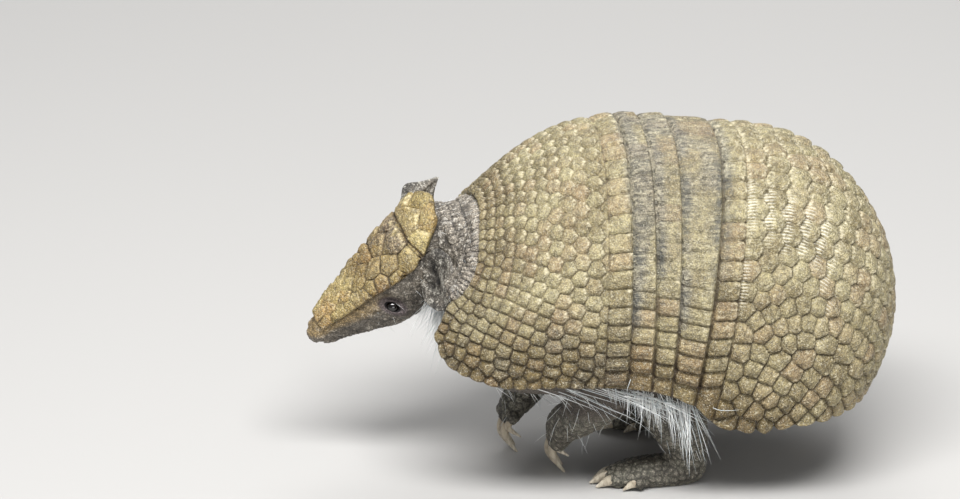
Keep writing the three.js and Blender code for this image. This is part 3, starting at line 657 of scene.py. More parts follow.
def horn_material(name, colours, granule=0.72, bump=0.55, contrast=1.0):
    """Horny plates: sandy crowns, pale rear rims that are partly a painted highlight, white ribs and glints
    painted as highlights, painted shade on the lowest plates, wrinkled grey skin and dark grooves of dirt
    and painted shade.
    """
    p = Paint(name)
    edge, tint, low, grey, lip, rib, across, flute, seam = p.attributes(*HORN_VALUES)
    cloud, patch, mottle = p.noise(13, 3), p.noise(5, 3, 0.6), p.noise(2.2, 3, 0.65)
    grain, fine = p.cells(granule), p.noise(0.45, 3, 0.7)
    wrinkle = p.noise(1.5, 3, 0.6, stretch=(0.22, 1, 1.3))
    swing, rim = 0.34 * contrast, colours["rim"]
    base = p.over(
        colours["dull"],
        (p.ramp(cloud, 0.36, 0.64), colours["bright"]),
        (p.ramp(tint, 0.5, 1.0, 0, 0.5), colours["warm"]),
        (p.ramp(patch, 0.45, 0.75, 0, 0.55), colours["bright"]),
        (grey * 0.7, colours["grey"]),
    )
    base = p.lit(base, p.ramp(mottle, 0.3, 0.7, 1 - swing, 1 + swing))
    base = p.lit(base, p.ramp(grain, 0.75, 0.15, 1 - 0.7 * swing, 1 + 0.7 * swing))
    base = p.mix(grey, base, p.lit(base, p.ramp(wrinkle, 0.40, 0.60, 0.62, 1.32)))
    broken = (p.ramp(mottle, 0.36, 0.64, 0.0, 0.7) + flute * 0.4).clamped()
    # Pale rims of the plates: partly their own paler horn, partly a painted highlight.
    base = p.mix(lip * broken, base, rim)
    # Darker colour where low is high: painted shade low on the shell's flanks, under the plates, over the
    # front of the scapular shield and low on the pelvic shield; a darker own tone high on the bands; the
    # head shield's edges, middle and deep groove and the tail are darkened too.
    base = p.mix(low, base, p.mix(1.0, base, DARK_TONE_AND_SHADE, "MULTIPLY"))
    # Dark grooves: dirt in the joints, and painted shade that deepens low on the flank.
    depth = p.ramp(low, 0.0, 0.7, 0.56, 0.92) + p.ramp(patch, 0.35, 0.65, -0.3, 0.1)
    groove = p.ramp(edge, 0.04, p.ramp(low, 0.0, 1.0, 0.42, 0.62), 1.0, 0.0) * depth
    wave = p.math("SINE", across * (2 * math.pi / RIB_PITCH))
    ribbed = rib * p.ramp(wave + p.ramp(mottle, 0.3, 0.7, -0.6, 0.6), 0.1, 0.9)
    base = p.over(
        base,
        # Painted highlights: fine glints, and larger sparkles in the rim colour.
        (p.ramp(fine, 0.56, 0.68, 0.0, 0.55 * contrast), PAINTED_HIGHLIGHT),
        (p.ramp(p.noise(1.3, 3, 0.6), 0.56, 0.68, 0.0, 0.42 * contrast), rim),
        (groove.clamped(), GROOVE_DIRT_AND_SHADE),
        (seam * p.ramp(wrinkle, 0.60, 0.42, 0.4, 1.0), SEAM_SKIN),
        # The white along the ribs is a painted highlight.
        (ribbed * 0.75, PAINTED_HIGHLIGHT),
    )
    relief = grain * -1.0 + fine * 0.6 + mottle * 0.8 + rib * wave * 0.4 + grey * wrinkle * 3.0
    rough = p.ramp(mottle, 0.3, 0.7, 0.34, 0.52)
    return p.surface(base, rough, Normal=p.bump(relief, bump, 0.9), Specular_IOR_Level=0.55)


# ---------- shields and bands ----------

SHELL_STEP, PELVIC_STEP = 0.5, 0.6
SHELL_ARC, SCAPULAR_LENGTH, PELVIC_LENGTH, BAND_LENGTH = 246, 82, 150, 15
SHELL_MIDDLE = np.array([20, 0, 60])
SHIELD_THICKNESS, BAND_THICKNESS = 3.0, 2.6
GROOVE_DEPTH, GROOVE_WIDTH = 0.75, 1.0
CROWN_RISE, CROWN_SPREAD = 1.35, 1.7
LOW_CROWN, LOW_SPREAD = 1.3, 0.6  # plates low on the flank are domed this much more, and rounder
FLUTES, FLUTE_DEPTH = 13, 0.13  # rays round the edge of a plate
REAR_LIFT = 0.42  # how far the rear edge of a plate stands out
SHINGLE = 0.85  # how far the lower edge of a plate on the flank stands out
TUCK_DEPTH, TUCK_LENGTH = 1.3, 1.9  # how the front edge of a piece dips under the piece before it
LAST_ROW = 9.6  # length of the rectangular plates before the first band
SCAPULAR_END, PELVIC_START = 0.997, 1.986  # stations just before the first and the last band line
BAND_GAPS = (0.016, 0.004)  # how far before its own lines a band starts, and ends, in stations
SCAPULAR_ROWS, SCAPULAR_PITCH, SCAPULAR_PITCH_LOSS = 12, 7.4, 0.19
PELVIC_FIRST_ROW, PELVIC_ROWS, PELVIC_PITCH = 10.5, 16, 8.3
MARGIN_PITCH, MARGIN_INSET = 5.6, 0.012  # plates along the lower edges, and how near them as a share
SEAM_HEIGHTS = (100, 118, 112)  # where dark skin shows most along the front of each band
PLATE_CORNER = 1.8  # how round the corners of a rectangular plate are
RIBS_ON_PLATE, RIB_HEIGHT = 3, 0.16  # soft ridges along a rectangular plate
FAR = 9.0  # a distance to the edge of a plate that counts as the middle of it
PEBBLE_SIZE, PEBBLE_HEIGHT = 1.9, 0.2
UNDER_ROWS = 8
UNDERSIDE = {"edge": 0.5, "tint": 0.2, "low": 1.0}  # what the horn's material reads there; low at 1 paints the underside in full shade


def nearest_plates(points, seeds, count=5):
    """For each point, its nearest seed and its softened distance to the edge of that seed's plate."""
    tree = nearest_finder(seeds)
    found = np.array([[hit[1] for hit in tree.find_n(p, count)] for p in points])
    own = seeds[found[:, 0]]
    d_own = np.sum((points - own) ** 2, axis=-1)
    inverse = np.zeros(len(points))
    for k in range(1, count):
        other = seeds[found[:, k]]
        gap = np.maximum(np.linalg.norm(other - own, axis=-1), 1e-6)
        d = np.maximum((np.sum((points - other) ** 2, axis=-1) - d_own) / (2 * gap), 1e-3)
        inverse += d**-4.0
    return found[:, 0], inverse ** (-1 / 4)


def brick(across, along, corner=PLATE_CORNER):
    """Distance to the edge of a rectangle with rounded corners, from the distances to its sides."""
    rounded = corner - np.hypot(np.maximum(corner - across, 0), np.maximum(corner - along, 0))
    return np.where((across < corner) & (along < corner), rounded, np.minimum(across, along))


def rounded_border(border, thickness):
    """How far the surface drops beside a free edge, so that the edge is round."""
    radius = thickness / 2
    inside = np.clip(1 - border / radius, 0, 1)
    return -radius * (1 - np.sqrt(1 - inside**2))


def closed_sheet(outer, bare, normals, thickness):
    """Points and faces of a plate: its outer grid, and a coarser grid of rows for the underside."""
    rows, columns = outer.shape[:2]
    picks = np.unique(np.linspace(0, rows - 1, UNDER_ROWS).round().astype(int))[::-1]
    under = bare[picks] - normals[picks] * thickness
    faces = quads(rows + len(picks), columns, wrap_rows=True).tolist()
    for column in (0, columns - 1):
        top = [r * columns + column for r in range(rows)]
        bottom = [(rows + i) * columns + column for i in range(len(picks))][::-1]
        share_top, share_bottom = np.linspace(0, 1, rows), picks[::-1] / (rows - 1)
        i = j = 0
        while i < rows - 1 or j < len(bottom) - 1:
            step_top = j == len(bottom) - 1 or (i < rows - 1 and share_top[i + 1] <= share_bottom[j + 1])
            face = (top[i], bottom[j], top[i + 1] if step_top else bottom[j + 1])
            faces.append(face if column == 0 else face[::-1])
            i, j = (i + 1, j) if step_top else (i, j + 1)
    return np.concatenate([outer, under]).reshape(-1, 3), faces


def spaced(length, pitch, from_middle):
    """Places out from the middle of a row on both sides, with plates smaller towards its ends."""
    places, at = [], 0.0 if from_middle else pitch * 0.5
    while at < length / 2:
        places.append(at)
        at += pitch * (1.12 - 0.3 * at / (length / 2))
    return np.sort(np.array([-p for p in places if p > 0] + places))


def relax(seeds, samples, rounds):
    """Moves seeds towards the middle of their own patch of the surface, which evens the plates out."""
    for _ in range(rounds):
        owner = np.argmin(((samples[:, None, :] - seeds[None, :, :]) ** 2).sum(-1), axis=1)
        total = np.bincount(owner, minlength=len(seeds))
        middle = np.stack([np.bincount(owner, samples[:, k], len(seeds)) for k in range(3)], -1)
        kept = total > 0
        seeds = seeds[kept] * 0.4 + 0.6 * middle[kept] / total[kept, None]
    return seeds


def thin_out(seeds, least):
    """Drops a seed that is nearer than least to one before it."""
    kept = []
    for seed in seeds:
        if all(np.linalg.norm(seed - other) > least for other in kept):
            kept.append(seed)
    return np.array(kept)


class Plates:
    """What each point of a grid needs to know about the plate that it lies on."""

    def __init__(self, grid):
        self.grid = grid
        self.s, a = along_rows(grid, 0), along_rows(grid, 1)
        self.across = a - a[:, -1:] / 2
        self.to_side = np.minimum(a, a[:, -1:] - a)
        self.border = np.minimum(np.minimum(self.s, self.s[-1:] - self.s), self.to_side)
        zero = np.zeros(grid.shape[:2])
        self.edge = zero + FAR
        self.tint = self.rearward = self.downward = self.flute = self.extra = zero
        self.rib = self.grey = self.seam = self.shade_and_dark_tone = zero
        # 1 near the shell's lower edges: plates there are domed more, and the material paints shade on
        # them.
        self.low = 1 - smooth(2, 42, self.to_side + 7 * noise(grid, 9, 21))
        self.rise, self.low_crown, self.shingle, self.front_rim = 1.0, LOW_CROWN, SHINGLE, 0.0

    def scatter(self, seeds):
        """Plates that lie round seeds."""
        shape = self.edge.shape
        flat = self.grid.reshape(-1, 3)
        owner, edge = nearest_plates(flat, seeds)
        self.owner, self.edge = owner.reshape(shape), edge.reshape(shape)
        self.tint = RNG.random(len(seeds))[owner].reshape(shape)
        local = (flat - seeds[owner]).reshape(*shape, 3)
        self.rearward = np.sum(local * unit(np.gradient(self.grid, axis=0)), axis=-1)
        sideways = np.sum(local * unit(np.gradient(self.grid, axis=1)), axis=-1)
        self.downward = sideways * np.sign(self.across)
        turn = np.arctan2(sideways, self.rearward) + 0.25 * noise(self.grid, 4, 44)
        self.flute = np.cos(FLUTES * turn + 6.3 * self.tint)

    def row(self, here, start, end, pitch, from_middle):
        """A row of rectangular plates between two distances along the body."""
        cuts = spaced(SHELL_ARC, pitch, from_middle)
        cuts = np.concatenate([[-SHELL_ARC], cuts + RNG.normal(0, 0.3, len(cuts)), [SHELL_ARC]])
        j = np.clip(np.searchsorted(cuts, self.across) - 1, 0, len(cuts) - 2)
        low, high = cuts[j], cuts[j + 1]
        wavy = 0.35 * noise(self.grid, 5, 41)
        along = np.minimum(self.s - start, end - self.s) + wavy
        beyond = np.minimum(np.abs(self.s - start), np.abs(self.s - end)) + wavy
        edge = brick(np.minimum(self.across - low, high - self.across), np.maximum(along, 0))
        ribs = np.cos(2 * np.pi * RIBS_ON_PLATE * (self.across - low) / (high - low) + np.pi)
        down = (self.across - (low + high) / 2) * np.sign(self.across)
        self.edge = np.where(here, edge, np.minimum(self.edge, beyond.clip(0.1)))
        self.tint = np.where(here, RNG.random(len(cuts))[j], self.tint)
        self.downward = np.where(here, down, self.downward)
        self.rearward = np.where(here, self.s - (start + end) / 2, self.rearward)
        self.extra = np.where(here, RIB_HEIGHT * ribs * smooth(0.5, 1.6, edge), self.extra)

    def tuck(self):
        """Dips the front edge under the piece ahead of it."""
        jagged = self.s + 0.5 * noise(self.grid, 2.5, 46)
        self.extra = self.extra - TUCK_DEPTH * (1 - smooth(0.2, TUCK_LENGTH, jagged))

    def lip(self):
        """The pale rim of a plate, partly its own paler horn and partly a painted highlight: at its rear,
        and fainter at its front.
        """
        pale_side = smooth(1.0, 2.4, self.rearward) + self.front_rim * smooth(-1.0, -2.4, self.rearward)
        return smooth(0.2, 0.5, self.edge) * (1 - smooth(0.8, 1.9, self.edge)) * pale_side * (1 - self.low)

    def height(self, pebble_size, pebble_height):
        """How far the surface stands out: domed plates with grooves, rays, lifted edges and pebbles."""
        low, edge = self.low, self.edge
        dome = CROWN_RISE * self.rise * (1 + self.low_crown * low)
        spread = CROWN_SPREAD * (1 + LOW_SPREAD * self.low_crown * low)
        wall = 1 - np.clip(edge / GROOVE_WIDTH, 0, 1)
        height = dome * (1 - np.exp(-edge / spread)) - GROOVE_DEPTH * wall**2
        height += FLUTE_DEPTH * self.flute * smooth(0.2, 0.7, edge) * smooth(3.2, 1.2, edge)
        height += REAR_LIFT * np.clip(self.rearward / 4, -1.2, 1.2) * smooth(0, 0.8, edge)
        on_flank = smooth(120, 70, self.to_side) * (0.4 + 0.6 * low) * self.shingle
        height += on_flank * np.clip(self.downward / 4, -1.2, 1.2) * smooth(0, 0.8, edge)
        coarse, _ = pebbles(self.grid, pebble_size, 3)
        height += pebble_height * (0.5 - coarse) * smooth(0.3, 1.2, edge) + self.extra
        return height + 0.3 * noise(self.grid, 15, 5)

    def make(self, name, node, thickness, material, inside=SHELL_MIDDLE,
             pebble_size=PEBBLE_SIZE, pebble_height=PEBBLE_HEIGHT):
        """The piece: the grid with its plates raised, an underside, and what its material reads."""
        normals = grid_normals(self.grid, inside)
        raised = self.height(pebble_size, pebble_height) * smooth(0, 1.2, self.border)
        outer = self.grid + normals * (raised + rounded_border(self.border, thickness))[..., None]
        points, faces = closed_sheet(outer, self.grid, normals, thickness)
        values = {
            "edge": np.minimum(self.edge, self.border + 0.45),
            "tint": self.tint,
            # low: where the material darkens the plates, mostly as painted shade.
            "low": np.maximum(self.low, self.shade_and_dark_tone),
            "grey": self.grey,
            "lip": self.lip(),
            "rib": self.rib,
            "across": self.across,
            "flute": self.flute,
            "seam": self.seam,
        }
        spare = len(points) - self.edge.size
        attributes = {
            key: np.concatenate([value.ravel(), np.full(spare, UNDERSIDE.get(key, 0.0))])
            for key, value in values.items()
        }
        piece = mesh_piece(name, points, faces, material, attributes)
        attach(piece, "root")
        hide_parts(node)


def seeds_at(grid, shares, places):
    """Points of a grid, given by shares of its length and places from 0 to 1 across it."""
    return [on_grid(grid, np.array(share), np.array(place)) for share in shares for place in places]


def margin_seeds(grid, shares):
    return seeds_at(grid, shares, (MARGIN_INSET, 1 - MARGIN_INSET))


def row_places(grid, share, pitch, from_middle, inset):
    """Evenly spaced places from 0 to 1 across the row of a grid that lies at a share of its length."""
    run = along_rows(grid[round(share * (len(grid) - 1))][None], 1)[0, -1]
    return [0.5 + p / run for p in spaced(run, pitch, from_middle) if abs(p) < run / 2 - inset]


def groove_grey(plates, distance, width, seed):
    """Bluish skin that shows along a band line, most of all high on the back."""
    high = (plates.grid[..., 2] - 112) / 50
    return bell(distance, width) * smooth(0.05, 0.6, noise(plates.grid, 20, seed) + 0.2 + high)


def seam_skin(plates, from_line, height, seed):
    """Dark wrinkled skin beside a band line, in broken stretches round a height on the back."""
    along = bell(from_line - 1.8, 2.0 + 0.8 * noise(plates.grid, 6, seed + 5))
    stretch = smooth(-0.3, 0.3, noise(plates.grid, 10, seed) + 0.15)
    return 0.9 * along * stretch * bell(plates.grid[..., 2] - height, 26)


def scapular_shield(material):
    """Rows of small plates that widen towards a last row of rectangular ones."""
    rows, columns = round(SCAPULAR_LENGTH / SHELL_STEP), round(SHELL_ARC / SHELL_STEP)
    grid = shell_grid(shell_front, flat_station(SCAPULAR_END), rows, columns)
    plates = Plates(grid)
    widths = [7.5 - 0.2 * k for k in range(SCAPULAR_ROWS)]
    total = LAST_ROW + sum(widths)
    seeds, at = [], LAST_ROW
    for k, width in enumerate(widths):
        share = 1 - (at + width / 2) / total
        places = row_places(grid, share, SCAPULAR_PITCH - SCAPULAR_PITCH_LOSS * k, k % 2 == 0, 4)
        seeds += seeds_at(grid, [share], places)
        at += width
    front_part = 1 - LAST_ROW / total
    seeds += margin_seeds(grid, np.arange(MARGIN_INSET, front_part, MARGIN_PITCH / total))
    seeds = relax(np.array(seeds), grid[: int(rows * front_part) : 4, ::4].reshape(-1, 3), 4)
    plates.scatter(seeds + RNG.normal(0, 0.2, seeds.shape))
    length = plates.s[-1:]
    plates.row(length - plates.s < LAST_ROW, length - LAST_ROW, length + 0.6, 7.8, True)
    dusty = 0.7 * plates.low * smooth(0.0, 0.45, noise(grid, 11, 23))
    plates.grey = np.maximum(groove_grey(plates, length - plates.s, 2.2, 8), dusty)
    # Painted shade over the front of the shield.
    plates.shade_and_dark_tone = 0.5 * smooth(30, 8, plates.s)
    plates.make("scapular_plates", "scapular_shield", SHIELD_THICKNESS, material)


def pelvic_shield(material):
    """A row of rectangular plates, and rounded ones that spread over the rump."""
    rows, columns = round(PELVIC_LENGTH / PELVIC_STEP), round(SHELL_ARC / PELVIC_STEP)
    grid = shell_grid(flat_station(PELVIC_START), shell_rear, rows, columns)
    plates = Plates(grid)
    length, side = plates.s[-1:], plates.to_side
    first_row = np.minimum(PELVIC_FIRST_ROW, 0.32 * length)
    across = np.linspace(0, 1, columns + 1)
    seeds = []
    for k in range(PELVIC_ROWS):
        for place in row_places(grid, (k + 1) / PELVIC_ROWS, PELVIC_PITCH, k % 2 == 0, 4.5):
            start = np.interp(place, across, (first_row / length)[0])
            seeds += seeds_at(grid, [start + (1 - start) * (k + 0.5) / PELVIC_ROWS], [place])
    seeds += margin_seeds(grid, np.arange(0.36, 1, 0.05))
    seeds += seeds_at(grid, [0.985], 0.5 + np.arange(-0.46, 0.461, 0.03))
    seeds = thin_out(np.array(seeds), 5.6)
    beyond = (plates.s > first_row)[::5, ::5]
    plates.scatter(relax(seeds, grid[::5, ::5][beyond], 6))
    plates.row(plates.s < first_row, 1.0, first_row, 8.6, False)
    plates.tuck()
    zone = smooth(6, 13, plates.s) * smooth(58, 42, plates.s) * smooth(44, 56, side) * smooth(106, 92, side)
    ribbed = smooth(-0.1, 0.35, noise(grid, 17, 51) + 0.3)
    plates.rib = zone * (1 - smooth(-2.2, 0.4, plates.rearward)) * ribbed
    plates.rise = 1.25
    plates.grey = groove_grey(plates, plates.s - 1.6, 2.6, 9)
    plates.seam = seam_skin(plates, plates.s - 0.8, 120, 61)
    # Painted shade low on the flank.
    plates.shade_and_dark_tone = 0.4 * smooth(76, 40, side)
    plates.front_rim = 0.9 * smooth(60, 90, side)
    plates.make("pelvic_plates", "pelvic_shield", SHIELD_THICKNESS, material)


def band(index, material):
    """A band: one row of rectangular plates, which turn into grey wrinkled skin high on the back."""
    start, end = (1 + (index + k) / BAND_COUNT - gap for k, gap in enumerate(BAND_GAPS))
    rows, columns = round(BAND_LENGTH / SHELL_STEP), round(SHELL_ARC / SHELL_STEP)
    grid = shell_grid(flat_station(start), flat_station(end), rows, columns)
    plates = Plates(grid)
    length = plates.s[-1:]
    plates.row(plates.s >= 0, 0.9, length + 0.6, 8.0 - 0.15 * index, index % 2 == 0)
    plates.tuck()
    high = smooth(84, 128, grid[..., 2] + 12 * noise(grid, 20, 31))
    plates.edge = plates.edge + 1.4 * high * smooth(-0.5, 0.3, noise(grid, 9, 32) + high - 0.4)
    streak = bell(plates.s - 1.2, 3.0) * smooth(-0.1, 0.5, noise(grid, 9, 12 + index) + 0.5 * high)
    patches = smooth(-0.35, 0.45, noise(grid * np.array([1, 1, 0.5]), 8, 33) + 0.25 - 0.35 * index)
    plates.grey = np.clip(high * (0.25 + 0.65 * patches) + streak * smooth(62, 92, grid[..., 2]), 0, 1)
    # A darker own tone of the bands high on the back.
    plates.shade_and_dark_tone = 0.22 * high
    plates.seam = seam_skin(plates, plates.s, SEAM_HEIGHTS[index], 62 + index)
    if index == BAND_COUNT - 1:
        plates.seam = np.maximum(plates.seam, 0.9 * seam_skin(plates, length - plates.s, 124, 71))
    plates.make(f"band_{index + 1}_plates", f"band_{index + 1}", BAND_THICKNESS, material)


# ---------- head shield ----------

HEAD_STEP = 0.34
HEAD_MIDDLE = head_place(38, -16, 0)
# Large plates: place along the head, place across the shield from -1 to 1 at its left edge, greyness.
HEAD_PLATES = [
    (-1.5, -0.2, 0.0), (-0.5, 0.42, 0.0), (7.5, 0.68, 0.0), (8.0, 0.02, 0.45), (6.0, -0.68, 0.3),
    (19.0, 0.10, 1.0), (18.0, 0.74, 0.15), (17.5, -0.62, 1.0), (26.0, 0.46, 0.4), (27.0, -0.2, 0.8),
    (26.5, -0.78, 0.8), (25.5, 0.95, 0.2),
]
HEAD_PITS = [(3.2, 0.1), (6.2, 0.36), (23.6, 0.24), (4.0, -0.45)]
NOTCHES = [(12.6, 0.10), (22.6, 0.08)]  # where the lower edge of the head shield cuts in
REAR_PLATES_END = 13
SNOUT_PLATES_START, SNOUT_PLATE_LENGTH = 33, 5.4
SNOUT_PLATES_ACROSS = (4, 3)  # in turn
PIT_RADIUS = 1.5
HEAD_SHIELD_GROW = CLEARANCE + HEAD_SHIELD_THICKNESS
HEAD_SHIELD_LENGTH, HEAD_SHIELD_ARC = 70, 44
HEAD_PEBBLE_SIZE, HEAD_PEBBLE_HEIGHT = 1.3, 0.34


def on_head_shield(u, share):
    """A point of the head shield: station u, and share from -1 to 1 at its left edge."""
    return head_point(u, share * head_shield_reach_at(u) * np.pi / 2, HEAD_SHIELD_GROW)


def snout_seeds():
    """Places and greyness of the short plates along the nose."""
    seeds, greyness, at = [], [], SNOUT_PLATES_START
    for count in itertools.cycle(SNOUT_PLATES_ACROSS):
        if at >= HEAD_SHIELD_FRONT - 1:
            return seeds, greyness
        seeds += [(at + RNG.normal(0, 0.5), x) for x in np.linspace(-1 + 1 / count, 1 - 1 / count, count)]
        greyness += list(RNG.uniform(0, 0.35, count) * (at < 50))
        at += SNOUT_PLATE_LENGTH * (1 - 0.35 * at / HEAD_SHIELD_FRONT)


def head_shield(material):
    """Large plates across the back of the crown, and short wide ones along the nose."""
    rows, columns = round(HEAD_SHIELD_LENGTH / HEAD_STEP), round(HEAD_SHIELD_ARC / HEAD_STEP)
    along, share = np.meshgrid(np.linspace(0, 1, rows + 1), np.linspace(-1, 1, columns + 1), indexing="ij")
    scallop = 0.9 * np.cos(share * np.pi * 3.2 + 0.6)
    rear = HEAD_SHIELD_REAR + HEAD_SHIELD_CORNER * np.abs(share) ** HEAD_SHIELD_CORNER_POWER - scallop
    u = rear + (HEAD_SHIELD_FRONT - rear) * along
    notched = 1 - sum(depth * bell(u - at, 1.9) for at, depth in NOTCHES)
    grid = head_point(u, share * (head_shield_reach_at(u) * notched) * np.pi / 2, HEAD_SHIELD_GROW)[::-1]
    plates = Plates(grid)
    snout_places, snout_grey = snout_seeds()
    places = [(at, place) for at, place, _ in HEAD_PLATES] + snout_places
    greyness = np.array([grey for _, _, grey in HEAD_PLATES] + snout_grey)
    plates.scatter(np.array([on_head_shield(*place) for place in places]))
    for place in HEAD_PITS:
        to_pit = np.linalg.norm(grid - on_head_shield(*place), axis=-1)
        plates.edge = np.minimum(plates.edge, 0.25 + to_pit / PIT_RADIUS)
    u_here = head_coordinates(grid)[0]
    behind = u_here - REAR_PLATES_END - 0.9 * noise(grid, 7, 68)
    snout = smooth(32, 46, u_here)
    plates.edge = np.minimum(plates.edge, 0.62 * np.abs(behind))
    plates.edge = plates.edge + 0.9 * snout * smooth(-0.2, 0.6, noise(grid, 5, 65))
    plates.edge = plates.edge + 0.12 * noise(grid, 1.6, 67)
    plates.extra = 0.75 * (1 - smooth(-0.8, 0.5, behind)) + 0.25 * noise(grid, 3.2, 66)
    plates.grey = greyness[plates.owner] * smooth(-0.6, 0.4, noise(grid, 4, 61) + 0.2)
    middle = smooth(13, 22, u_here) * smooth(50, 38, u_here)
    # Darker towards the shield's edges, in its middle, on the snout and along the deep groove behind the
    # rear plates.
    low = 0.4 * (1 - smooth(0.5, 5, plates.border)) + 0.62 * middle + 0.15 * snout + bell(behind, 1.3)
    plates.low = low.clip(0, 1)
    plates.rise, plates.low_crown, plates.shingle = 0.8 - 0.45 * snout, 0, 0
    plates.make("head_plates", "head_shield", HEAD_SHIELD_THICKNESS, material, HEAD_MIDDLE,
                HEAD_PEBBLE_SIZE, HEAD_PEBBLE_HEIGHT)


# ---------- skin ----------

VOXEL = 1.15
FLESH_SWELL, HEAD_SWELL = 0.3, 0.1
SNOUT_END, SNOUT_DOME = 69, 5.2  # where the rounded end of the snout starts, and how long it is
HEAD_RINGS, SNOUT_RINGS, HEAD_SIDES = 70, 9, 80
LEG_ROWS, LEG_SIDES, TOE_ROWS, TOE_SIDES = 40, 28, 10, 16
COLLAR_RINGS, COLLAR_SIDES = 120, 24
TOE_SKIN, TOE_END = 0.7, 0.45  # thickness, and how far down the claw from 0 to 2
SKIN_SMOOTHING, FINE_SMOOTHING = 8, 2
PULL_IN, PUSH_OUT = 0.55, -0.56  # shares of the way to the middle of a point's neighbours, in turn
HIDDEN_DETAIL = 0.12  # share of the faces that is kept on the back, under the shell
HIDDEN_ABOVE = 55  # the height from which the shell hides the skin
SNOUT_TIP_START, NEAR_EYE = 60, 9  # where the skin gets its finest detail


def cad_flesh(node):
    """The points of a CAD solid in body millimetres, swollen a little, and its faces."""
    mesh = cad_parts[node].data
    points = np.array([v.co / MM for v in mesh.vertices]) - FRAME_OFFSET
    normals = np.array([v.normal for v in mesh.vertices])
    return points + normals * FLESH_SWELL, [list(p.vertices) for p in mesh.polygons]


def head_flesh():
    """The head without its shield, with a rounded snout."""
    dome_u = SNOUT_END + SNOUT_DOME * np.sin(np.linspace(0.1, 0.99, SNOUT_RINGS) * np.pi / 2)
    u = np.concatenate([np.linspace(1, SNOUT_END, HEAD_RINGS), dome_u])
    angle = np.linspace(-np.pi, np.pi, HEAD_SIDES, endpoint=False)
    rings = head_point(u[:, None], angle[None], HEAD_SWELL)
    middle = rings.mean(1, keepdims=True)
    shrink = np.sqrt(np.clip(1 - ((u - 68) / 6.4).clip(0) ** 2.4, 0.02, 1))
    return tube(middle + (rings - middle) * shrink[:, None, None])


def leg_flesh(path, radii):
    return tube(rounded_ends(limb(path, radii, LEG_ROWS, LEG_SIDES), start=False))


def toe_flesh(path, width):
    """The skin that wraps the root of a claw."""
    thick = 0.5 * width + TOE_SKIN
    radii = [[CLAW_DEPTH * 0.5 * width + TOE_SKIN, thick]] * 3
    return tube(rounded_ends(limb(path, radii, TOE_ROWS, TOE_SIDES, end=TOE_END)))


COLLAR_FLANK = 0.82  # how far down the collar goes
COLLAR_RADII = (3.3, 5.4)  # how thick it is on top, and from half way down
COLLAR_MIDDLE = np.array([-66, 0, 88])


def collar_flesh():
    """The roll of skin that fills the front of the shell round the neck."""
    flank = np.linspace(-COLLAR_FLANK, COLLAR_FLANK, COLLAR_RINGS)
    rim = shell_point(shell_front(flank), flank)
    forward = unit(rim - shell_point(shell_front(flank) + 0.04, flank))
    inward = unit(COLLAR_MIDDLE - rim)
    radius = np.interp(np.abs(flank), [0, 0.5], COLLAR_RADII)
    centre = rim + inward * (radius + 1.9)[:, None] + forward * (0.35 * radius)[:, None]
    turn = np.linspace(0, 2 * np.pi, COLLAR_SIDES, endpoint=False)[None, :, None]
    round_rim = np.cos(turn) * inward[:, None] + np.sin(turn) * forward[:, None]
    return tube(centre[:, None] + radius[:, None, None] * round_rim)


def merged(parts):
    """Joins (points, faces) pairs into one."""
    points, faces, count = [], [], 0
    for part_points, part_faces in parts:
        points.append(part_points)
        faces += [[i + count for i in face] for face in part_faces]
        count += len(part_points)
    return np.concatenate(points), faces


def evaluated(obj):
    """Replaces an object's mesh with the result of its modifiers."""
    depsgraph = bpy.context.evaluated_depsgraph_get()
    obj.data = bpy.data.meshes.new_from_object(obj.evaluated_get(depsgraph))
    obj.modifiers.clear()


def smoothed(mesh, rounds):
    """Evens out a mesh's points without shrinking it."""
    a, b = mesh_array(mesh.edges, "vertices", 2, np.int32).T
    points = vertex_array(mesh)
    size = len(points)
    degree = np.maximum(np.bincount(a, minlength=size) + np.bincount(b, minlength=size), 1)
    for amount in [PULL_IN, PUSH_OUT] * rounds:
        total = [np.bincount(a, points[b, k], size) + np.bincount(b, points[a, k], size) for k in range(3)]
        points = points + amount * (np.stack(total, -1) / degree[:, None] - points)
    set_vertices(mesh, points)


def subdivide_where(mesh, chosen):
    """Cuts each face whose points are all chosen into four."""
    bm = bmesh.new()
    bm.from_mesh(mesh)
    faces = [f for f in bm.faces if all(chosen[v.index] for v in f.verts)]
    edges = list({e for f in faces for e in f.edges})
    bmesh.ops.subdivide_edges(bm, edges=edges, cuts=1, use_grid_fill=True)
    bm.to_mesh(mesh)
    bm.free()


def head_share(points):
    """1 on the head, 0 elsewhere."""
    u, v, w = head_coordinates(points)
    return smooth(0, 5, u + 0.35 * v.clip(-40, 0)) * smooth(-52, -40, v) * (np.abs(w) < 40)


def limb_share(points):
    return smooth(0, 7, 37 - points[:, 2]) * smooth(-60, -52, points[:, 0])


EYE_LOOKS_UP, EYE_LOOKS_BACK = 0.7, 0.15
EYE_REACH, EYE_DEPTH = 11, -3  # how far from the middle of the eye the skin is shaped, and how deep
# Height of the skin over the middle of the eye, from under the eyeball out over the lids.
LID_STATIONS = [0, 2.0, 2.3, 2.6, 3.0, 3.8, 6, 9]
LID_HEIGHTS = [1.2, 1.25, 1.8, 2.2, 2.4, 2.5, 2.85, 3.3]
LID_WIDE, LID_HIGH, LID_LOW = 1.3, 0.84, 0.6
LID_TURN = math.radians(70)  # how far the corners of the lids are turned from the line of the head
LID_BLEND = (3.6, 7.6)


def eye_frame(side):
    """The middle of an eye, the way it looks out, and the long and short axes of its lids."""
    u, v, w = EYE_CENTRE
    centre = head_place(u, v, side * w)
    outward = unit(side * head_w + EYE_LOOKS_UP * head_v - EYE_LOOKS_BACK * head_u)
    along_head = unit(head_u - outward * np.dot(head_u, outward))
    to_forehead = np.cross(along_head, outward) * side
    long_axis = along_head * math.cos(LID_TURN) + to_forehead * math.sin(LID_TURN)
    return centre, outward, long_axis, np.cross(outward, long_axis)


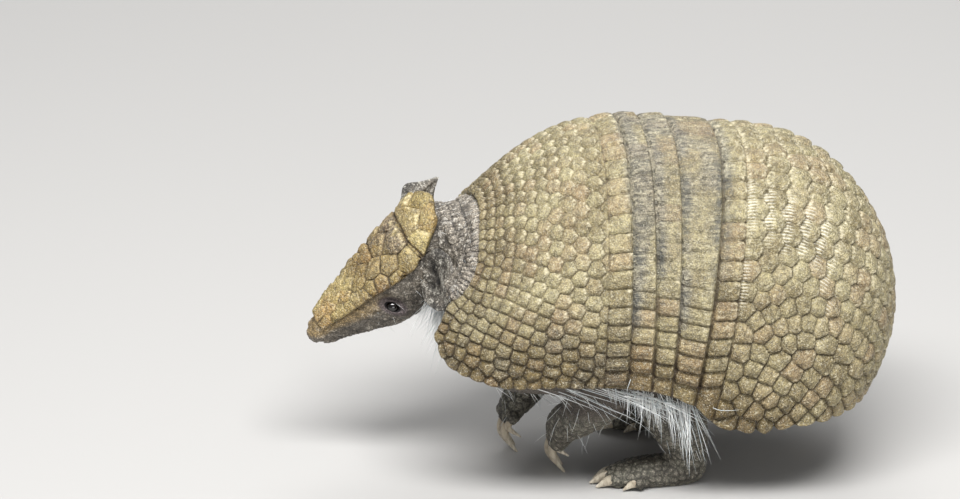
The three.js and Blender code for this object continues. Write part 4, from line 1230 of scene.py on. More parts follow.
def open_lids(points):
    """Sinks the skin behind each eyeball and raises a rim of lids round it."""
    skin_at = curve(LID_STATIONS, LID_HEIGHTS)
    ring = np.zeros(len(points))
    for side in SIDES.values():
        centre, outward, long_axis, short_axis = eye_frame(side)
        local = points - centre
        a, b, height = local @ long_axis, local @ short_axis * side, local @ outward
        oval = np.hypot(a / LID_WIDE, b / np.where(b < 0, LID_HIGH, LID_LOW))
        here = (height > EYE_DEPTH) & (np.linalg.norm(local, axis=-1) < EYE_REACH)
        upper, lower = smooth(0.5, -1.5, b), smooth(-0.2, 1.2, b)
        wanted = skin_at(oval) + (0.3 * upper + 0.3 * lower) * bell(oval - 3.0, 0.6)
        wanted -= 0.25 * (1 - upper) * smooth(3, 6, oval)
        share = (1 - smooth(*LID_BLEND, oval)) * here
        crease = bell(oval - 4.2, 0.32) * (0.4 + 0.6 * upper) + 0.6 * bell(oval - 5.6, 0.4)
        points = points + outward * ((wanted - height) * share)[:, None]
        points = points - outward * (0.32 * crease * here)[:, None]
        grey_rim, black_rim = 1 - smooth(3.4, 6.8, oval), 1 - smooth(2.5, 2.95, oval)
        ring = np.maximum(ring, here * (0.5 * grey_rim + 0.5 * black_rim))
    return points, ring


def dent(points, normals, place, size, depth):
    return points - normals * (depth * bell(np.linalg.norm(points - place, axis=-1), size))[:, None]


NOSTRIL_U, NOSTRIL_ANGLE, NOSTRIL_SIZE, NOSTRIL_DEPTH = 72.2, 0.62 * np.pi, 1.25, 1.5
MOUTH_DEPTH = 0.80  # how far down the head the line of the mouth is, as a share of the depth there
MOUTH_START, MOUTH_WIDTH, LIP_ABOVE, LIP_WIDTH = 44, 0.55, 1.5, 0.9
MOUTH_GROOVE, LIP_HEIGHT = 0.95, 0.35


def nose_and_mouth(points, normals):
    """Nostrils at the end of the snout, and the line of the mouth under it."""
    for side in SIDES.values():
        nostril = head_point(NOSTRIL_U, side * NOSTRIL_ANGLE)
        points = dent(points, normals, nostril, NOSTRIL_SIZE, NOSTRIL_DEPTH)
    u, v, _ = head_coordinates(points)
    over_mouth = v - (-CLEARANCE - HEAD_SHIELD_THICKNESS - head_depth_at(u) * MOUTH_DEPTH)
    on_snout = smooth(MOUTH_START, MOUTH_START + 5, u) * smooth(0, 2, 73.5 - u)
    on_snout = on_snout * smooth(8, 4, np.abs(over_mouth))
    groove = bell(over_mouth - 0.35 * noise(points, 6, 71), MOUTH_WIDTH) * on_snout
    lip = bell(over_mouth - LIP_ABOVE, LIP_WIDTH) * on_snout
    return points - normals * (MOUTH_GROOVE * groove - LIP_HEIGHT * lip)[:, None], groove


# Distances from the front edge of the shell that part its rows of scutes.
RIM_ROWS = [1.0, 6.6, 11.4, 15.4]
RIM_SCUTE_WIDTH, RIM_SCUTE_WIDTH_ON_TOP, RIM_SCUTE_CORNER = 2.0, 4.6, 0.9
RIM_SCUTE_HEIGHT, RIM_SCUTE_TIP = 0.85, 0.45  # how far a scute stands out, and its tip beyond that
RIM_SAMPLES = 900
NECK_FOLD_PITCH = 5.2


def rim_scutes(points):
    """Rows of narrow overlapping scutes on the neck beside the shell: their height, pale tips, and the
    painted shade between them.
    """
    flank = np.linspace(-1, 1, RIM_SAMPLES)
    rim = shell_point(shell_front(flank), flank)
    width = RIM_SCUTE_WIDTH + (RIM_SCUTE_WIDTH_ON_TOP - RIM_SCUTE_WIDTH) * bell(flank, 0.4)
    number = np.concatenate([[0], np.cumsum(np.linalg.norm(np.diff(rim, axis=0), axis=-1) / width[1:])])
    tree = nearest_finder(rim)
    height, pale, crease = (np.zeros(len(points)) for _ in range(3))
    near = np.flatnonzero((points[:, 0] < -42) & (points[:, 2] > 58) & (head_share(points) < 0.9))
    found = [tree.find(points[i])[1:] for i in near]
    nearest, distance = (np.array(column) for column in zip(*found))
    for row, (start, end) in enumerate(zip(RIM_ROWS, RIM_ROWS[1:])):
        place = number[nearest] + 0.5 * (row % 2) + 0.12 * noise(points[near], 3, 75)
        inside = place - np.floor(place)
        across = np.minimum(inside, 1 - inside) * width[nearest]
        along = np.minimum(distance - start, end - distance)
        edge = np.clip(brick(across, along, RIM_SCUTE_CORNER), 0, None)
        here = (distance > start) & (distance < end)
        tip = (end - distance) / (end - start)
        fade = (1 - head_share(points[near])) * (1 - 0.22 * row)
        raised = RIM_SCUTE_HEIGHT * (1 - np.exp(-edge / 0.5)) + RIM_SCUTE_TIP * tip
        height[near] += here * fade * raised
        pale[near] += here * fade * (0.35 + 0.65 * smooth(0.3, 0.9, tip)) * smooth(0.05, 0.5, edge)
        crease[near] += here * fade * (1 - smooth(0.0, 0.45, edge))
    return height, pale, crease


def skin_relief(points):
    """Folds, wrinkles and pebbles for each part of the skin, and how pale and how creased it is."""
    u, v, _ = head_coordinates(points)
    head, leg = head_share(points), limb_share(points)
    neck = (1 - head) * smooth(-46, -56, points[:, 0])
    belly = (1 - head) * (1 - leg) * (1 - neck)
    fold_wave = np.cos(2 * np.pi * (u - 0.5 * v + 3.0 * noise(points, 9, 81)) / NECK_FOLD_PITCH)
    fine, _ = pebbles(points, 1.5, 82)
    grains = smooth(0.75, 0.15, fine)
    wide_pebbles, rim = pebbles(points, 2.9, 83)
    scutes = smooth(0.0, 0.32, rim - wide_pebbles)
    warts, _ = pebbles(points * np.array([0.5, 1, 1]), 3.6, 84)
    tops = smooth(0.5, 0.1, warts)
    wrinkle = noise(points * np.array([1.0, 1.0, 2.2]), 3.2, 85)
    rim_up, rim_pale, rim_crease = rim_scutes(points)
    height = neck * (0.22 * fold_wave + 0.45 * grains + 0.3 * wrinkle) + rim_up
    height += head * (0.30 * grains + 0.35 * wrinkle)
    height += leg * (0.42 * scutes + 0.12 * grains)
    height += belly * (0.8 * tops + 0.25 * wrinkle)
    pale = 0.5 * neck * grains + 0.45 * head * grains + 0.6 * leg * scutes * grains + rim_pale
    pale += belly * tops * 0.5
    # crease: where painted shade darkens fold troughs, the skin between scutes and wrinkles.
    crease = 0.5 * neck * smooth(0.1, -0.9, fold_wave) + 0.75 * leg * (1 - scutes) + rim_crease
    crease += 0.5 * head * smooth(0.1, -0.5, wrinkle)
    return height, np.clip(pale, 0, 1), np.clip(crease, 0, 1)


def specks(p, size):
    """Pale grains of uneven shape scattered among dark ones."""
    return p.ramp(p.noise(size, 4, 0.75), 0.545, 0.64)


SKIN_VALUES = ("pale", "crease", "eyelid", "ochre", "belly", "leg", "salt")


def skin_material():
    """Dark pebbled skin: pale grains on the neck, an ochre cheek, black round the eyes, and painted shade
    on the belly and in the creases.
    """
    p = Paint("skin")
    pale, crease, eyelid, ochre, belly, leg, salt = p.attributes(*SKIN_VALUES)
    cloud, fine, grain = p.ramp(p.noise(9, 3), 0.35, 0.65), p.noise(0.5, 3, 0.65), p.cells(0.75)
    leg_skin = p.mix(cloud, (0.115, 0.105, 0.080), (0.21, 0.20, 0.155))
    lid = p.mix(fine, (0.050, 0.036, 0.038), (0.165, 0.130, 0.130))
    base = p.over(
        (0.046, 0.038, 0.030),
        (cloud, (0.155, 0.132, 0.102)),
        (leg, leg_skin),
        (pale * p.ramp(fine, 0.36, 0.56), (0.54, 0.475, 0.385)),
        (ochre * p.ramp(fine, 0.3, 0.6, 0.5, 1.0), (0.34, 0.24, 0.11)),
        # Painted shade: the belly is darkened like the shadow under the body.
        (belly * 0.6, (0.085, 0.068, 0.056)),
        (specks(p, 1.1) * salt, (0.62, 0.565, 0.47)),
        (specks(p, 2.6) * (salt * 0.85), (0.76, 0.71, 0.62)),
        (p.ramp(eyelid, 0.05, 0.5, 0, 0.85), lid),
        (p.ramp(eyelid, 0.6, 0.9), (0.010, 0.007, 0.008)),
        # Painted shade in creases, between scutes and in the line of the mouth.
        (crease * 0.8, (0.018, 0.014, 0.012)),
    )
    base = p.lit(base, p.ramp(grain, 0.1, 0.6, 1.35, 0.6))
    bump = p.bump(grain * -1.0 + fine, 0.34, 0.9)
    return p.surface(base, p.ramp(fine, 0.3, 0.7, 0.42, 0.62), Normal=bump, Specular_IOR_Level=0.45)


LEGS = ("foreleg_left", "foreleg_right", "hindleg_left", "hindleg_right")


def all_flesh():
    """The closed solids that the skin is drawn over, as one mesh."""
    parts = [cad_flesh("trunk"), cad_flesh("neck"), head_flesh(), collar_flesh()]
    for side in SIDES.values():
        parts.append(leg_flesh(foreleg_path(side), FORELEG_RADII))
        parts.append(leg_flesh(shank_path(side), SHANK_RADII))
        parts.append(leg_flesh(foot_path(side), FOOT_RADII))
        for digit in range(DIGITS):
            parts.append(toe_flesh(foreclaw_path(side, digit), FORECLAW_WIDTHS[digit]))
            parts.append(toe_flesh(hindclaw_path(side, digit), HINDCLAW_WIDTHS[digit]))
    return merged(parts)


def fuse(skin):
    """Makes one even surface of the solids, and thins it where the shell hides it."""
    remesh = skin.modifiers.new("one surface", "REMESH")
    remesh.mode, remesh.voxel_size, remesh.use_smooth_shade = "VOXEL", VOXEL * MM, True
    evaluated(skin)
    points = vertex_array(skin.data)
    high, behind_neck = smooth(3, 12, points[:, 2] - HIDDEN_ABOVE), smooth(-62, -52, points[:, 0])
    hidden = high * behind_neck * (1 - head_share(points))
    group = skin.vertex_groups.new(name="hidden")
    for value in (0.25, 0.5, 1.0):
        group.add(np.flatnonzero(hidden > value - 0.25).tolist(), value, "REPLACE")
    thin = skin.modifiers.new("thin", "DECIMATE")
    thin.ratio, thin.vertex_group = HIDDEN_DETAIL + (1 - hidden.mean()) * (1 - HIDDEN_DETAIL), "hidden"
    evaluated(skin)


def refine(mesh):
    """Evens the surface out, with more points where it shows and most at the eyes and the nose."""
    smoothed(mesh, SKIN_SMOOTHING)
    points = vertex_array(mesh)
    subdivide_where(mesh, (head_share(points) > 0.02) | (points[:, 0] < -50) | (limb_share(points) > 0.3))
    smoothed(mesh, FINE_SMOOTHING)
    points = vertex_array(mesh)
    close = head_coordinates(points)[0] > SNOUT_TIP_START
    for side in SIDES.values():
        close |= np.linalg.norm(points - eye_frame(side)[0], axis=-1) < NEAR_EYE
    subdivide_where(mesh, close)


def make_skin():
    """One skin over the head, neck, trunk and legs, with its relief and what its material reads."""
    skin = mesh_piece("skin", *all_flesh(), skin_material())
    fuse(skin)
    mesh = skin.data
    refine(mesh)
    points, normals = vertex_array(mesh), mesh_array(mesh.vertex_normals, "vector", 3)
    points, groove = nose_and_mouth(points, normals)
    lidded, eyelid = open_lids(points)
    height, pale, crease = skin_relief(points)
    calm = 1 - smooth(0, 0.5, eyelid)
    points = lidded + normals * (height * calm)[:, None]
    points[:, 2] = np.maximum(points[:, 2], 0)
    set_vertices(mesh, points)
    u, v, _ = head_coordinates(points)
    head, leg = head_share(points), limb_share(points)
    salty = (1 - head) * smooth(-50, -58, points[:, 0]) + head * (1 - 0.75 * smooth(12, 34, u))
    set_attributes(mesh, {
        "pale": pale * calm,
        # crease: painted shade in creases and in the line of the mouth.
        "crease": np.clip(crease * calm + groove, 0, 1),
        "eyelid": eyelid,
        "ochre": head * smooth(-0.52, -0.30, v / head_depth_at(u)) * smooth(30, 50, u),
        # belly: where the skin is darkened as painted shade under the body.
        "belly": (1 - head) * (1 - leg) * smooth(-60, -50, points[:, 0]),
        "leg": leg,
        "salt": salty * calm,
    })
    mesh.shade_smooth()
    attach(skin, "root")
    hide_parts("trunk", "neck", "head", *LEGS)
    return skin


# ---------- eyes, ears, claws and tail ----------

EYE_RINGS, EYE_SIDES = 32, 48


def eye_material():
    p = Paint("eye")
    depth = p.noise(1.6, 2)
    colour = p.mix(p.ramp(depth, 0.3, 0.7), (0.002, 0.0015, 0.001), (0.008, 0.005, 0.004))
    return p.surface(colour, p.ramp(depth, 0.3, 0.7, 0.03, 0.05), Specular_IOR_Level=0.9)


def make_eyes():
    """Glossy eyeballs, whose rings of points run round the way they look."""
    material = eye_material()
    turn = np.linspace(0, 2 * np.pi, EYE_SIDES, endpoint=False)[:, None]
    tilt = np.linspace(0.03, np.pi - 0.03, EYE_RINGS)[:, None, None]
    for name, side in SIDES.items():
        centre, outward, long_axis, short_axis = eye_frame(side)
        flat = np.cos(turn) * long_axis + np.sin(turn) * short_axis
        rings = centre + EYE_RADIUS * (np.cos(tilt) * outward + np.sin(tilt) * flat[None])
        eye = mesh_piece(f"eyeball_{name}", *tube(rings), material)
        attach(eye, "root")
        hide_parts(f"eye_{name}")


def ear_material():
    """Dark leathery skin with pale grains, and black painted shade in the pits of the hollow."""
    p = Paint("ear_skin")
    hollow, rim, pale = p.attributes("hollow", "rim", "pale")
    cloud, fine, grain = p.noise(6, 3), p.noise(0.5, 3, 0.6), p.cells(0.8)
    base = p.over(
        (0.085, 0.074, 0.060),
        (p.ramp(cloud, 0.35, 0.65), (0.23, 0.20, 0.16)),
        (rim * 0.4, (0.12, 0.115, 0.108)),
        (pale * p.ramp(fine, 0.35, 0.6), (0.46, 0.43, 0.37)),
        (specks(p, 1.1) * 0.75, (0.64, 0.61, 0.54)),
        (p.ramp(p.noise(3.0, 4, 0.75), 0.50, 0.60) * 0.7, (0.62, 0.59, 0.51)),
        # Painted shade: the pits are black.
        (hollow, (0.012, 0.010, 0.009)),
    )
    base = p.lit(base, p.ramp(grain, 0.1, 0.6, 1.4, 0.5))
    return p.surface(base, p.ramp(fine, 0.3, 0.7, 0.45, 0.65), Normal=p.bump(fine - grain, 0.4, 0.9))


EAR_ROWS, EAR_SIDES = 90, 120
EAR_BASE = -0.12  # where its root starts, below the skin, as a share of its length
EAR_POINT = 4.6  # how much longer a pointed ear is
EAR_NARROWED = (0.75, 0.38)  # share of its half width that a pointed ear keeps behind, and in front
# Hollows inside the ear: place along it and across it, size and depth.
EAR_PITS = [(0.26, 0.30, 0.12, 1.6), (0.45, -0.10, 0.10, 1.3), (0.30, -0.38, 0.07, 0.9)]
ear_half_width_at = curve(EAR_STATIONS, EAR_HALF_WIDTHS)


def ear_axes(side):
    """The root of an ear, the way it points, the way it is wide and the way its hollow faces."""
    u, v, w = EAR_ROOT
    along, wide = (np.array(EAR_LIE[side][key], float) for key in ("along", "wide"))
    along = unit(along)
    wide = unit(wide - along * np.dot(wide, along))
    return head_place(u, v, side * w), along, wide, np.cross(along, wide) * side


def ear_outline(s, q, ruffle, side):
    """Half the width of an ear, how thick it still is near its tip, and how far its tip is drawn out."""
    pointed = EAR_LIE[side]["point"]
    tip = np.sqrt(np.clip(1 - ((s - 0.86) / 0.145).clip(0) ** 2, 0.004, 1))
    half = ear_half_width_at(s) * tip * (1 + 0.07 * noise(ruffle, 4, 95 + side) * smooth(0.1, 0.4, s))
    point = smooth(0.55, 1, s) * pointed
    behind, ahead = (1 - (1 - share) * pointed for share in EAR_NARROWED)
    half = half * (1 - 0.75 * point) * np.where(q > 0, ahead + (1 - ahead) * smooth(0.1, 0.95, s), behind)
    return half, tip, EAR_POINT * point**2


def make_ear(name, side, material):
    """A curled leaf of skin, grainy all over, with ridges and pits in its hollow."""
    root, along, wide, hollow_side = ear_axes(side)
    turns = np.linspace(0, 2 * np.pi, EAR_SIDES, endpoint=False)
    s, turn = np.meshgrid(np.linspace(EAR_BASE, 1, EAR_ROWS), turns, indexing="ij")
    q = np.sign(np.cos(turn)) * np.abs(np.cos(turn)) ** 0.8
    ruffle = np.stack([s * EAR_LENGTH, q * 11, 0 * s], -1)
    half, tip, drawn_out = ear_outline(s, q, ruffle, side)
    bowl = EAR_CUP * q * q * np.sin(np.pi * np.minimum(s + EAR_CUP_START, 1)) + EAR_TIP_CURL * s * s
    wavy = 0.9 * noise(ruffle, 5, 91 + side) * smooth(0.2, 0.8, s)
    thick = EAR_THICKNESS / 2 * (1 + 0.35 * bell(np.abs(q) - 0.9, 0.12)) * (0.4 + 0.6 * tip)
    flat = root + along * (s * EAR_LENGTH + drawn_out)[..., None] + wide * (q * half)[..., None]
    grains, _ = pebbles(flat, 1.5, 92)
    grains = smooth(0.75, 0.2, grains)
    inner = smooth(0, 0.4, np.sin(turn))
    ridge = np.cos(9 * q + 2.5 * noise(flat, 9, 93)) * (1 - smooth(0.1, 0.75, s))
    pit = sum(depth * bell(np.hypot(s - ps, (q - pq) * 0.5), size) for ps, pq, size, depth in EAR_PITS)
    relief = 0.28 * grains * np.sign(np.sin(turn)) + inner * (0.45 * ridge - pit)
    points = flat + hollow_side * (bowl + wavy + thick * np.sin(turn) + relief)[..., None]
    values = {
        # hollow: the pits, which the material paints black as shade.
        "hollow": np.clip(inner * pit / 1.1, 0, 1),
        "rim": smooth(0.72, 0.95, np.abs(q)),
        "pale": grains * smooth(0.1, 0.6, noise(flat, 5, 94) + 0.15),
    }
    ear = mesh_piece(f"ear_skin_{name}", *tube(points), material, values)
    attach(ear, "root")
    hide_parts(f"ear_{name}")


def make_ears():
    material = ear_material()
    for name, side in SIDES.items():
        make_ear(name, side, material)


def claw_material():
    """Pale horn with brown streaks, darker at the root."""
    p = Paint("claw_horn")
    (along,) = p.attributes("along")
    streak, fine = p.noise(1.1, 3, 0.6, stretch=(1, 1, 0.25)), p.noise(0.4, 2)
    base = p.over(
        (0.34, 0.27, 0.18),
        (p.ramp(along, 0.1, 0.9), (0.66, 0.60, 0.48)),
        (p.ramp(streak, 0.42, 0.68, 0, 0.6), (0.20, 0.145, 0.09)),
        (p.ramp(along, 0.0, 0.16, 0.85, 0), (0.06, 0.05, 0.04)),
    )
    bump = p.bump(streak + fine * 0.3, 0.22, 0.7)
    return p.surface(base, p.ramp(fine, 0.3, 0.7, 0.28, 0.42), Normal=bump, Coat_Weight=0.25)


CLAW_ROWS, CLAW_SIDES = 40, 28
CLAW_TAPER = (0.5, 0.43, 0.1)  # radius at the root, the bend and the tip, as a share of the width
CLAW_RIBS, CLAW_RIB_HEIGHT = 7, 0.035


def make_claw(node, path, width, material):
    """A curved horn with a rounded root, fine ribs that fade towards its tip and a blunt point."""
    radii = [[CLAW_DEPTH * width * share, width * share] for share in CLAW_TAPER]
    rings = rounded_ends(limb(path, radii, CLAW_ROWS, CLAW_SIDES), reach=0.8)
    along = np.linspace(0, 1, len(rings))
    turn = np.linspace(0, 2 * np.pi, CLAW_SIDES, endpoint=False)
    middle = rings.mean(1, keepdims=True)
    ribs = 1 + CLAW_RIB_HEIGHT * np.cos(CLAW_RIBS * turn)[None, :, None] * (1 - along)[:, None, None]
    points = middle + (rings - middle) * ribs
    points[..., 2] = np.maximum(points[..., 2], 0)
    attributes = {"along": np.repeat(along, CLAW_SIDES)}
    claw = mesh_piece(f"{node}_horn", *tube(points), material, attributes)
    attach(claw, "root")
    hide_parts(node)


def make_claws():
    material = claw_material()
    for where, side in SIDES.items():
        for digit in range(DIGITS):
            fore, hind = f"foreclaw_{where}_{digit + 1}", f"hindclaw_{where}_{digit + 1}"
            make_claw(fore, foreclaw_path(side, digit), FORECLAW_WIDTHS[digit], material)
            make_claw(hind, hindclaw_path(side, digit), HINDCLAW_WIDTHS[digit], material)


TAIL_ROWS, TAIL_SIDES = 320, 150
TAIL_RING_LENGTH, TAIL_SCUTE_WIDTH = 4.6, 5.2
# How strongly the tail is darkened, as the lowest plates are.
TAIL_LOW_TONE = 0.55


def tail_scutes(ring_number, within, girth):
    """The scutes of one ring: distance to their edges, and a random number for each."""
    count = max(5, round(girth / TAIL_SCUTE_WIDTH))
    turn = np.linspace(0, 1, TAIL_SIDES, endpoint=False)
    place = (turn * count + 0.5 * (ring_number % 2)) % count
    inside = place - np.floor(place)
    across = np.minimum(inside, 1 - inside) * girth / count
    cells = np.stack([np.floor(place), np.full(TAIL_SIDES, ring_number), 0 * place], -1)
    return brick(across, min(within, TAIL_RING_LENGTH - within), 1.6), lattice(cells, 5)


def make_tail(material):
    """A cone with rings of horny scutes that overlap towards its tip."""
    rings = limb(TAIL_PATH, TAIL_RADII, TAIL_ROWS, TAIL_SIDES)
    middle = rings.mean(1, keepdims=True)
    radius = np.linalg.norm(rings - middle, axis=-1)
    s = along_rows(rings, 0).mean(1)
    ring_number = np.floor(s / TAIL_RING_LENGTH)
    within = s - ring_number * TAIL_RING_LENGTH
    girth = [2 * np.pi * row.mean() for row in radius]
    scutes = [tail_scutes(*row) for row in zip(ring_number, within, girth)]
    edge, tint = (np.array(field) for field in zip(*scutes))
    rearward = 0 * edge + (within - TAIL_RING_LENGTH / 2)[:, None]
    swell = 0.9 * (1 - np.exp(-edge / 1.1)) - 0.5 + 0.5 * rearward / TAIL_RING_LENGTH
    shrink = smooth(0, 1.5, s[-1] - s)[:, None]
    fade = np.minimum(1, radius / 4)
    raised = middle + (rings - middle) * (1 + swell * fade * shrink / radius)[..., None]
    closed = rounded_ends(raised, start=False)
    # Pale rear rims of the scutes: partly their own tone, partly a painted highlight.
    lip = 0.7 * (smooth(0.9, 1.9, rearward) * smooth(0.15, 0.5, edge))
    fields = dict.fromkeys(HORN_VALUES, 0 * edge)
    fields |= {"edge": edge, "tint": tint, "low": 0 * edge + TAIL_LOW_TONE, "lip": lip}
    rows = np.minimum(np.arange(len(closed)), TAIL_ROWS - 1)
    attributes = {key: value[rows] for key, value in fields.items()}
    tail = mesh_piece("tail_plates", *tube(closed), material, attributes)
    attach(tail, "root")
    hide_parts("tail")


# ---------- hair ----------

STRAND_SEGMENTS, STRAND_SIDES = 7, 3
STRAND_WAVE, STRAND_BOW = 0.03, 0.05  # how much a strand waves and bends aside, as shares of its length
STRAND_TIP = 0.12  # thickness of the tip, as a share of the root's
STRAND_ABOVE_FLOOR = 0.4
TUFT_PATCH = 0.003
BODY_AXIS_HEIGHT, BODY_START, BODY_LENGTH = 70, -160, 280


def hair_material():
    """Bluish white hairs, some of them yellower, with dark roots."""
    p = Paint("hair")
    along, tone = p.attributes("along", "tone")
    base = p.over(
        (0.55, 0.62, 0.65),
        (p.ramp(tone, 0, 0.7), (0.95, 0.97, 0.97)),
        (p.ramp(along, 0.0, 0.3, 0.3, 0.0), (0.25, 0.22, 0.18)),
        (p.ramp(p.noise(2.2), 0.35, 0.65, 0, 0.3), (0.93, 0.90, 0.80)),
    )
    return p.surface(base, p.ramp(tone, 0, 1, 0.42, 0.3), Specular_IOR_Level=0.6)


def body_unwrap(points):
    """A place on a cylinder round the body: along it, and round it."""
    u = (points[:, 0] - BODY_START) / BODY_LENGTH
    round_body = np.arctan2(points[:, 1], BODY_AXIS_HEIGHT - points[:, 2])
    return np.stack([u, 0.5 + round_body / (2 * np.pi)], -1)


def strand_faces(count):
    """Faces of tubes with capped ends, whose points are stored one strand after another."""
    rings = STRAND_SEGMENTS + 1
    offsets = np.arange(count)[:, None, None] * rings * STRAND_SIDES
    sides = quads(rings, STRAND_SIDES, wrap_columns=True)[None] + offsets
    caps = np.array([[2, 1, 0], [0, 1, 2]]) + np.array([[0], [(rings - 1) * STRAND_SIDES]])
    return sides.reshape(-1, 4).tolist() + (caps[None] + offsets).reshape(-1, 3).tolist()


def make_strands(name, roots, directions, lengths, radii, sag, material):
    """Tapered, curved hairs in one mesh. Each has its own patch of the OFBake map at its root."""
    count = len(roots)
    t = np.linspace(0, 1, STRAND_SEGMENTS + 1)
    directions = unit(directions)
    side = unit(np.cross(directions, RNG.normal(size=(count, 3))))
    other = np.cross(directions, side)
    swing = np.sin(t[None] * RNG.uniform(2, 7, (count, 1)) + RNG.uniform(0, 6, (count, 1)))
    swing = swing * t * (lengths * STRAND_WAVE)[:, None]
    bow = RNG.normal(0, STRAND_BOW, (count, 1)) * lengths[:, None] * t**2
    centre = roots[:, None] + directions[:, None] * (lengths[:, None] * t)[..., None]
    centre = centre + side[:, None] * (swing + bow)[..., None]
    centre[..., 2] -= (sag * lengths)[:, None] * t**2
    centre[..., 2] = np.maximum(centre[..., 2], STRAND_ABOVE_FLOOR)
    thick = radii[:, None] * np.clip(1 - t**2.2, STRAND_TIP, 1)
    place = np.arange(STRAND_SIDES) / STRAND_SIDES
    turn = 2 * np.pi * np.arange(STRAND_SIDES) / STRAND_SIDES
    ring = np.cos(turn)[:, None] * side[:, None, None] + np.sin(turn)[:, None] * other[:, None, None]
    points = centre[:, :, None] + ring * thick[..., None, None]
    attributes = {
        "along": np.tile(np.repeat(t, STRAND_SIDES), count),
        "tone": np.repeat(RNG.random(count), len(t) * STRAND_SIDES),
    }
    piece = mesh_piece(name, points, strand_faces(count), material, attributes)
    patch = np.stack(np.meshgrid(t, place, indexing="ij"), -1).reshape(-1, 2)
    places = body_unwrap(roots)[:, None] + (patch[None] - 0.5) * TUFT_PATCH
    corners = mesh_array(piece.data.loops, "vertex_index", 1, np.int32)[:, 0]
    layer = piece.data.uv_layers.new(name="OFBake")
    layer.data.foreach_set("uv", places.reshape(-1, 2)[corners].astype(np.float32).ravel())
    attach(piece, "root")


def scattered(skin, weight_of, count):
    """Random places on the skin with their normals, thicker where weight_of is larger."""
    faces = skin.data.polygons
    centre, normal = (mesh_array(faces, field, 3, float) for field in ("center", "normal"))
    centre = centre / MM - FRAME_OFFSET
    weight = np.clip(weight_of(centre, normal), 0, None) * mesh_array(faces, "area", 1, float)[:, 0]
    chosen = RNG.choice(len(faces), count, p=weight / weight.sum())
    return centre[chosen] + RNG.normal(0, 0.3, (count, 3)), normal[chosen]


def lying(normals, lie, stand, spread):
    """Directions of hairs that lie along the body, lift off it by stand, and vary by spread."""
    lie = unit(np.array(lie, float))
    flat = unit(lie - normals * np.sum(normals * lie, axis=-1, keepdims=True))
    return unit(flat + stand * normals + RNG.normal(0, spread, normals.shape))


edge_stations = np.linspace(0.05, 2.9, 200)
edge_line = edge_point(edge_stations)


def rim_roots(count, start, end, side):
    """Places just inside the lower edge of the shell, between two places along the body."""
    x = RNG.uniform(start, end, count)
    t = np.interp(x, edge_line[:, 0], edge_stations)
    y = side * (half_width_at(t) * (1 - SHELL_TUCK) - RNG.uniform(4, 9, count))
    return np.stack([x, -y, edge_point(t)[:, 1] - RNG.uniform(-1.5, 1.0, count)], -1)


def bristles(side, count=26):
    """Long stiff hairs that point back along the lower edge of the shell."""
    roots = rim_roots(count, -46, -4, side)
    directions = np.array([0.93, -0.06 * side, -0.34]) + RNG.normal(0, 0.05, (count, 3))
    lengths, radii, sag = (RNG.uniform(*ends, count) for ends in ((28, 48), (0.20, 0.30), (0.02, 0.2)))
    return roots, directions, lengths, radii, sag


def curtain(side, count=210):
    """Hairs that hang from the lower edge of the shell, longest in front of the hind leg."""
    roots = rim_roots(count, -12, 23, side)
    roots[:, 1] += side * RNG.uniform(-1, 8, count)
    directions = np.array([0.16, -0.16 * side, -0.97]) + RNG.normal(0, 0.13, (count, 3))
    lengths = np.interp(roots[:, 0], [-12, 5, 20, 23], [8, 20, 33, 28]) * RNG.uniform(0.45, 1.05, count)
    return roots, directions, lengths, RNG.uniform(0.16, 0.28, count), np.full(count, 0.02)


def on_belly(p, n):
    return (n[:, 2] < -0.2) * smooth(-62, -50, p[:, 0]) * smooth(28, 40, p[:, 2]) * smooth(62, 50, p[:, 2])


def on_legs(p, n):
    return smooth(9, 22, p[:, 2]) * smooth(50, 38, p[:, 2]) * (p[:, 0] > -60)


def on_throat(p, n):
    u, v, w = head_coordinates(p)
    return head_share(p) * bell(u - 14, 7) * smooth(-18, -24, v) * (np.abs(w) > 2)


def on_neck_and_face(p, n):
    v = head_coordinates(p)[1]
    neck = smooth(-50, -58, p[:, 0]) * (1 - head_share(p)) * smooth(75, 85, p[:, 2])
    return neck + 0.5 * head_share(p) * smooth(-8, -14, v)


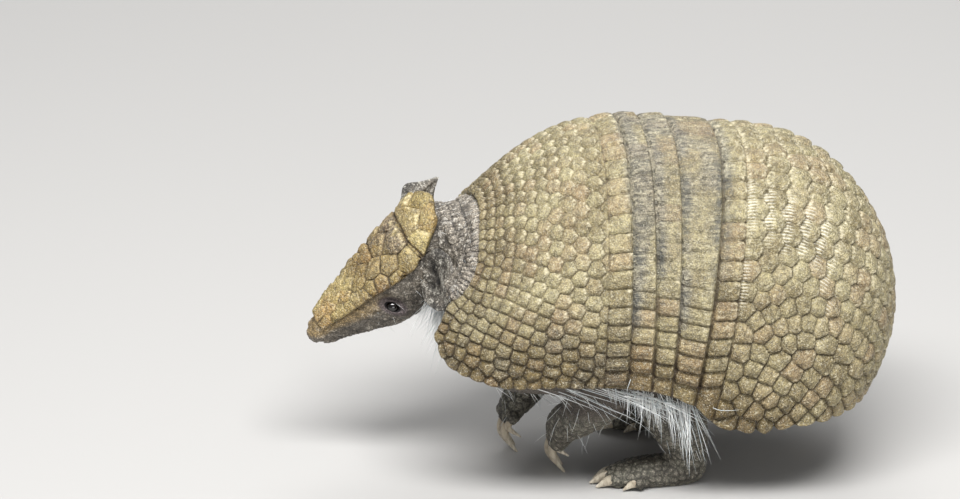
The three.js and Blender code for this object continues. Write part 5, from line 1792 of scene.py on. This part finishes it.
# Hair on the skin: how many, where, the way they lie, how far they stand off and how much they
# vary, the shortest and longest, the thinnest and thickest, and how much they sag.
SKIN_HAIR = {
    "belly_hair": (320, on_belly, (0.6, 0, -0.5), 0.45, 0.25, (5, 11), (0.09, 0.14), 0.1),
    "leg_hair": (320, on_legs, (0.5, 0, -0.9), 0.35, 0.2, (4, 10), (0.08, 0.13), 0.1),
    "throat_hair": (1100, on_throat, (-0.55, -0.1, -1), 0.35, 0.2, (8, 21), (0.09, 0.15), 0.15),
    "face_hair": (260, on_neck_and_face, (0.7, 0, -0.6), 0.4, 0.25, (2, 5), (0.04, 0.07), 0.05),
}


def make_hair(skin, material):
    """Hair under the edge of the shell on both sides, and then the hair that grows on the skin."""
    for where, side in SIDES.items():
        make_strands(f"bristles_{where}", *bristles(side), material)
        make_strands(f"curtain_{where}", *curtain(side), material)
    for name, (count, place, lie, stand, spread, lengths, radii, sag) in SKIN_HAIR.items():
        roots, normals = scattered(skin, place, count)
        directions = lying(normals, lie, stand, spread)
        lengths, radii = RNG.uniform(*lengths, count), RNG.uniform(*radii, count)
        make_strands(name, roots, directions, lengths, radii, np.full(count, sag), material)


STRAY_HAIR_RADIUS = 0.17
# Hairs that have come to lie on the shell: root, direction, length and how far each bends up.
STRAY_HAIRS = [
    ((29.4, -61.9, 47.4), (0.88, -0.10, -0.46), 12.5, 0.34),
    ((-3.4, -58.2, 60.0), (-0.36, -0.12, -0.92), 6.5, 0.05),
    ((-6.4, -59.2, 53.2), (0.97, -0.14, -0.12), 8.0, -0.06),
]


def stray_hairs(material):
    roots, directions, lengths, bends = (np.array(column, float) for column in zip(*STRAY_HAIRS))
    radii = np.full(len(roots), STRAY_HAIR_RADIUS)
    make_strands("stray_hairs", roots, directions, lengths, radii, -bends, material)


make_camera()
make_lights()
make_floor()

shell_material = horn_material("shell_horn", SHELL_COLOURS)
scapular_shield(shell_material)
for band_index in range(BAND_COUNT):
    band(band_index, shell_material)
pelvic_shield(shell_material)
head_shield(horn_material("head_horn", HEAD_COLOURS, granule=0.8, bump=0.6, contrast=1.05))
skin = make_skin()
make_eyes()
make_ears()
make_claws()
make_tail(shell_material)
hair = hair_material()
make_hair(skin, hair)
stray_hairs(hair)
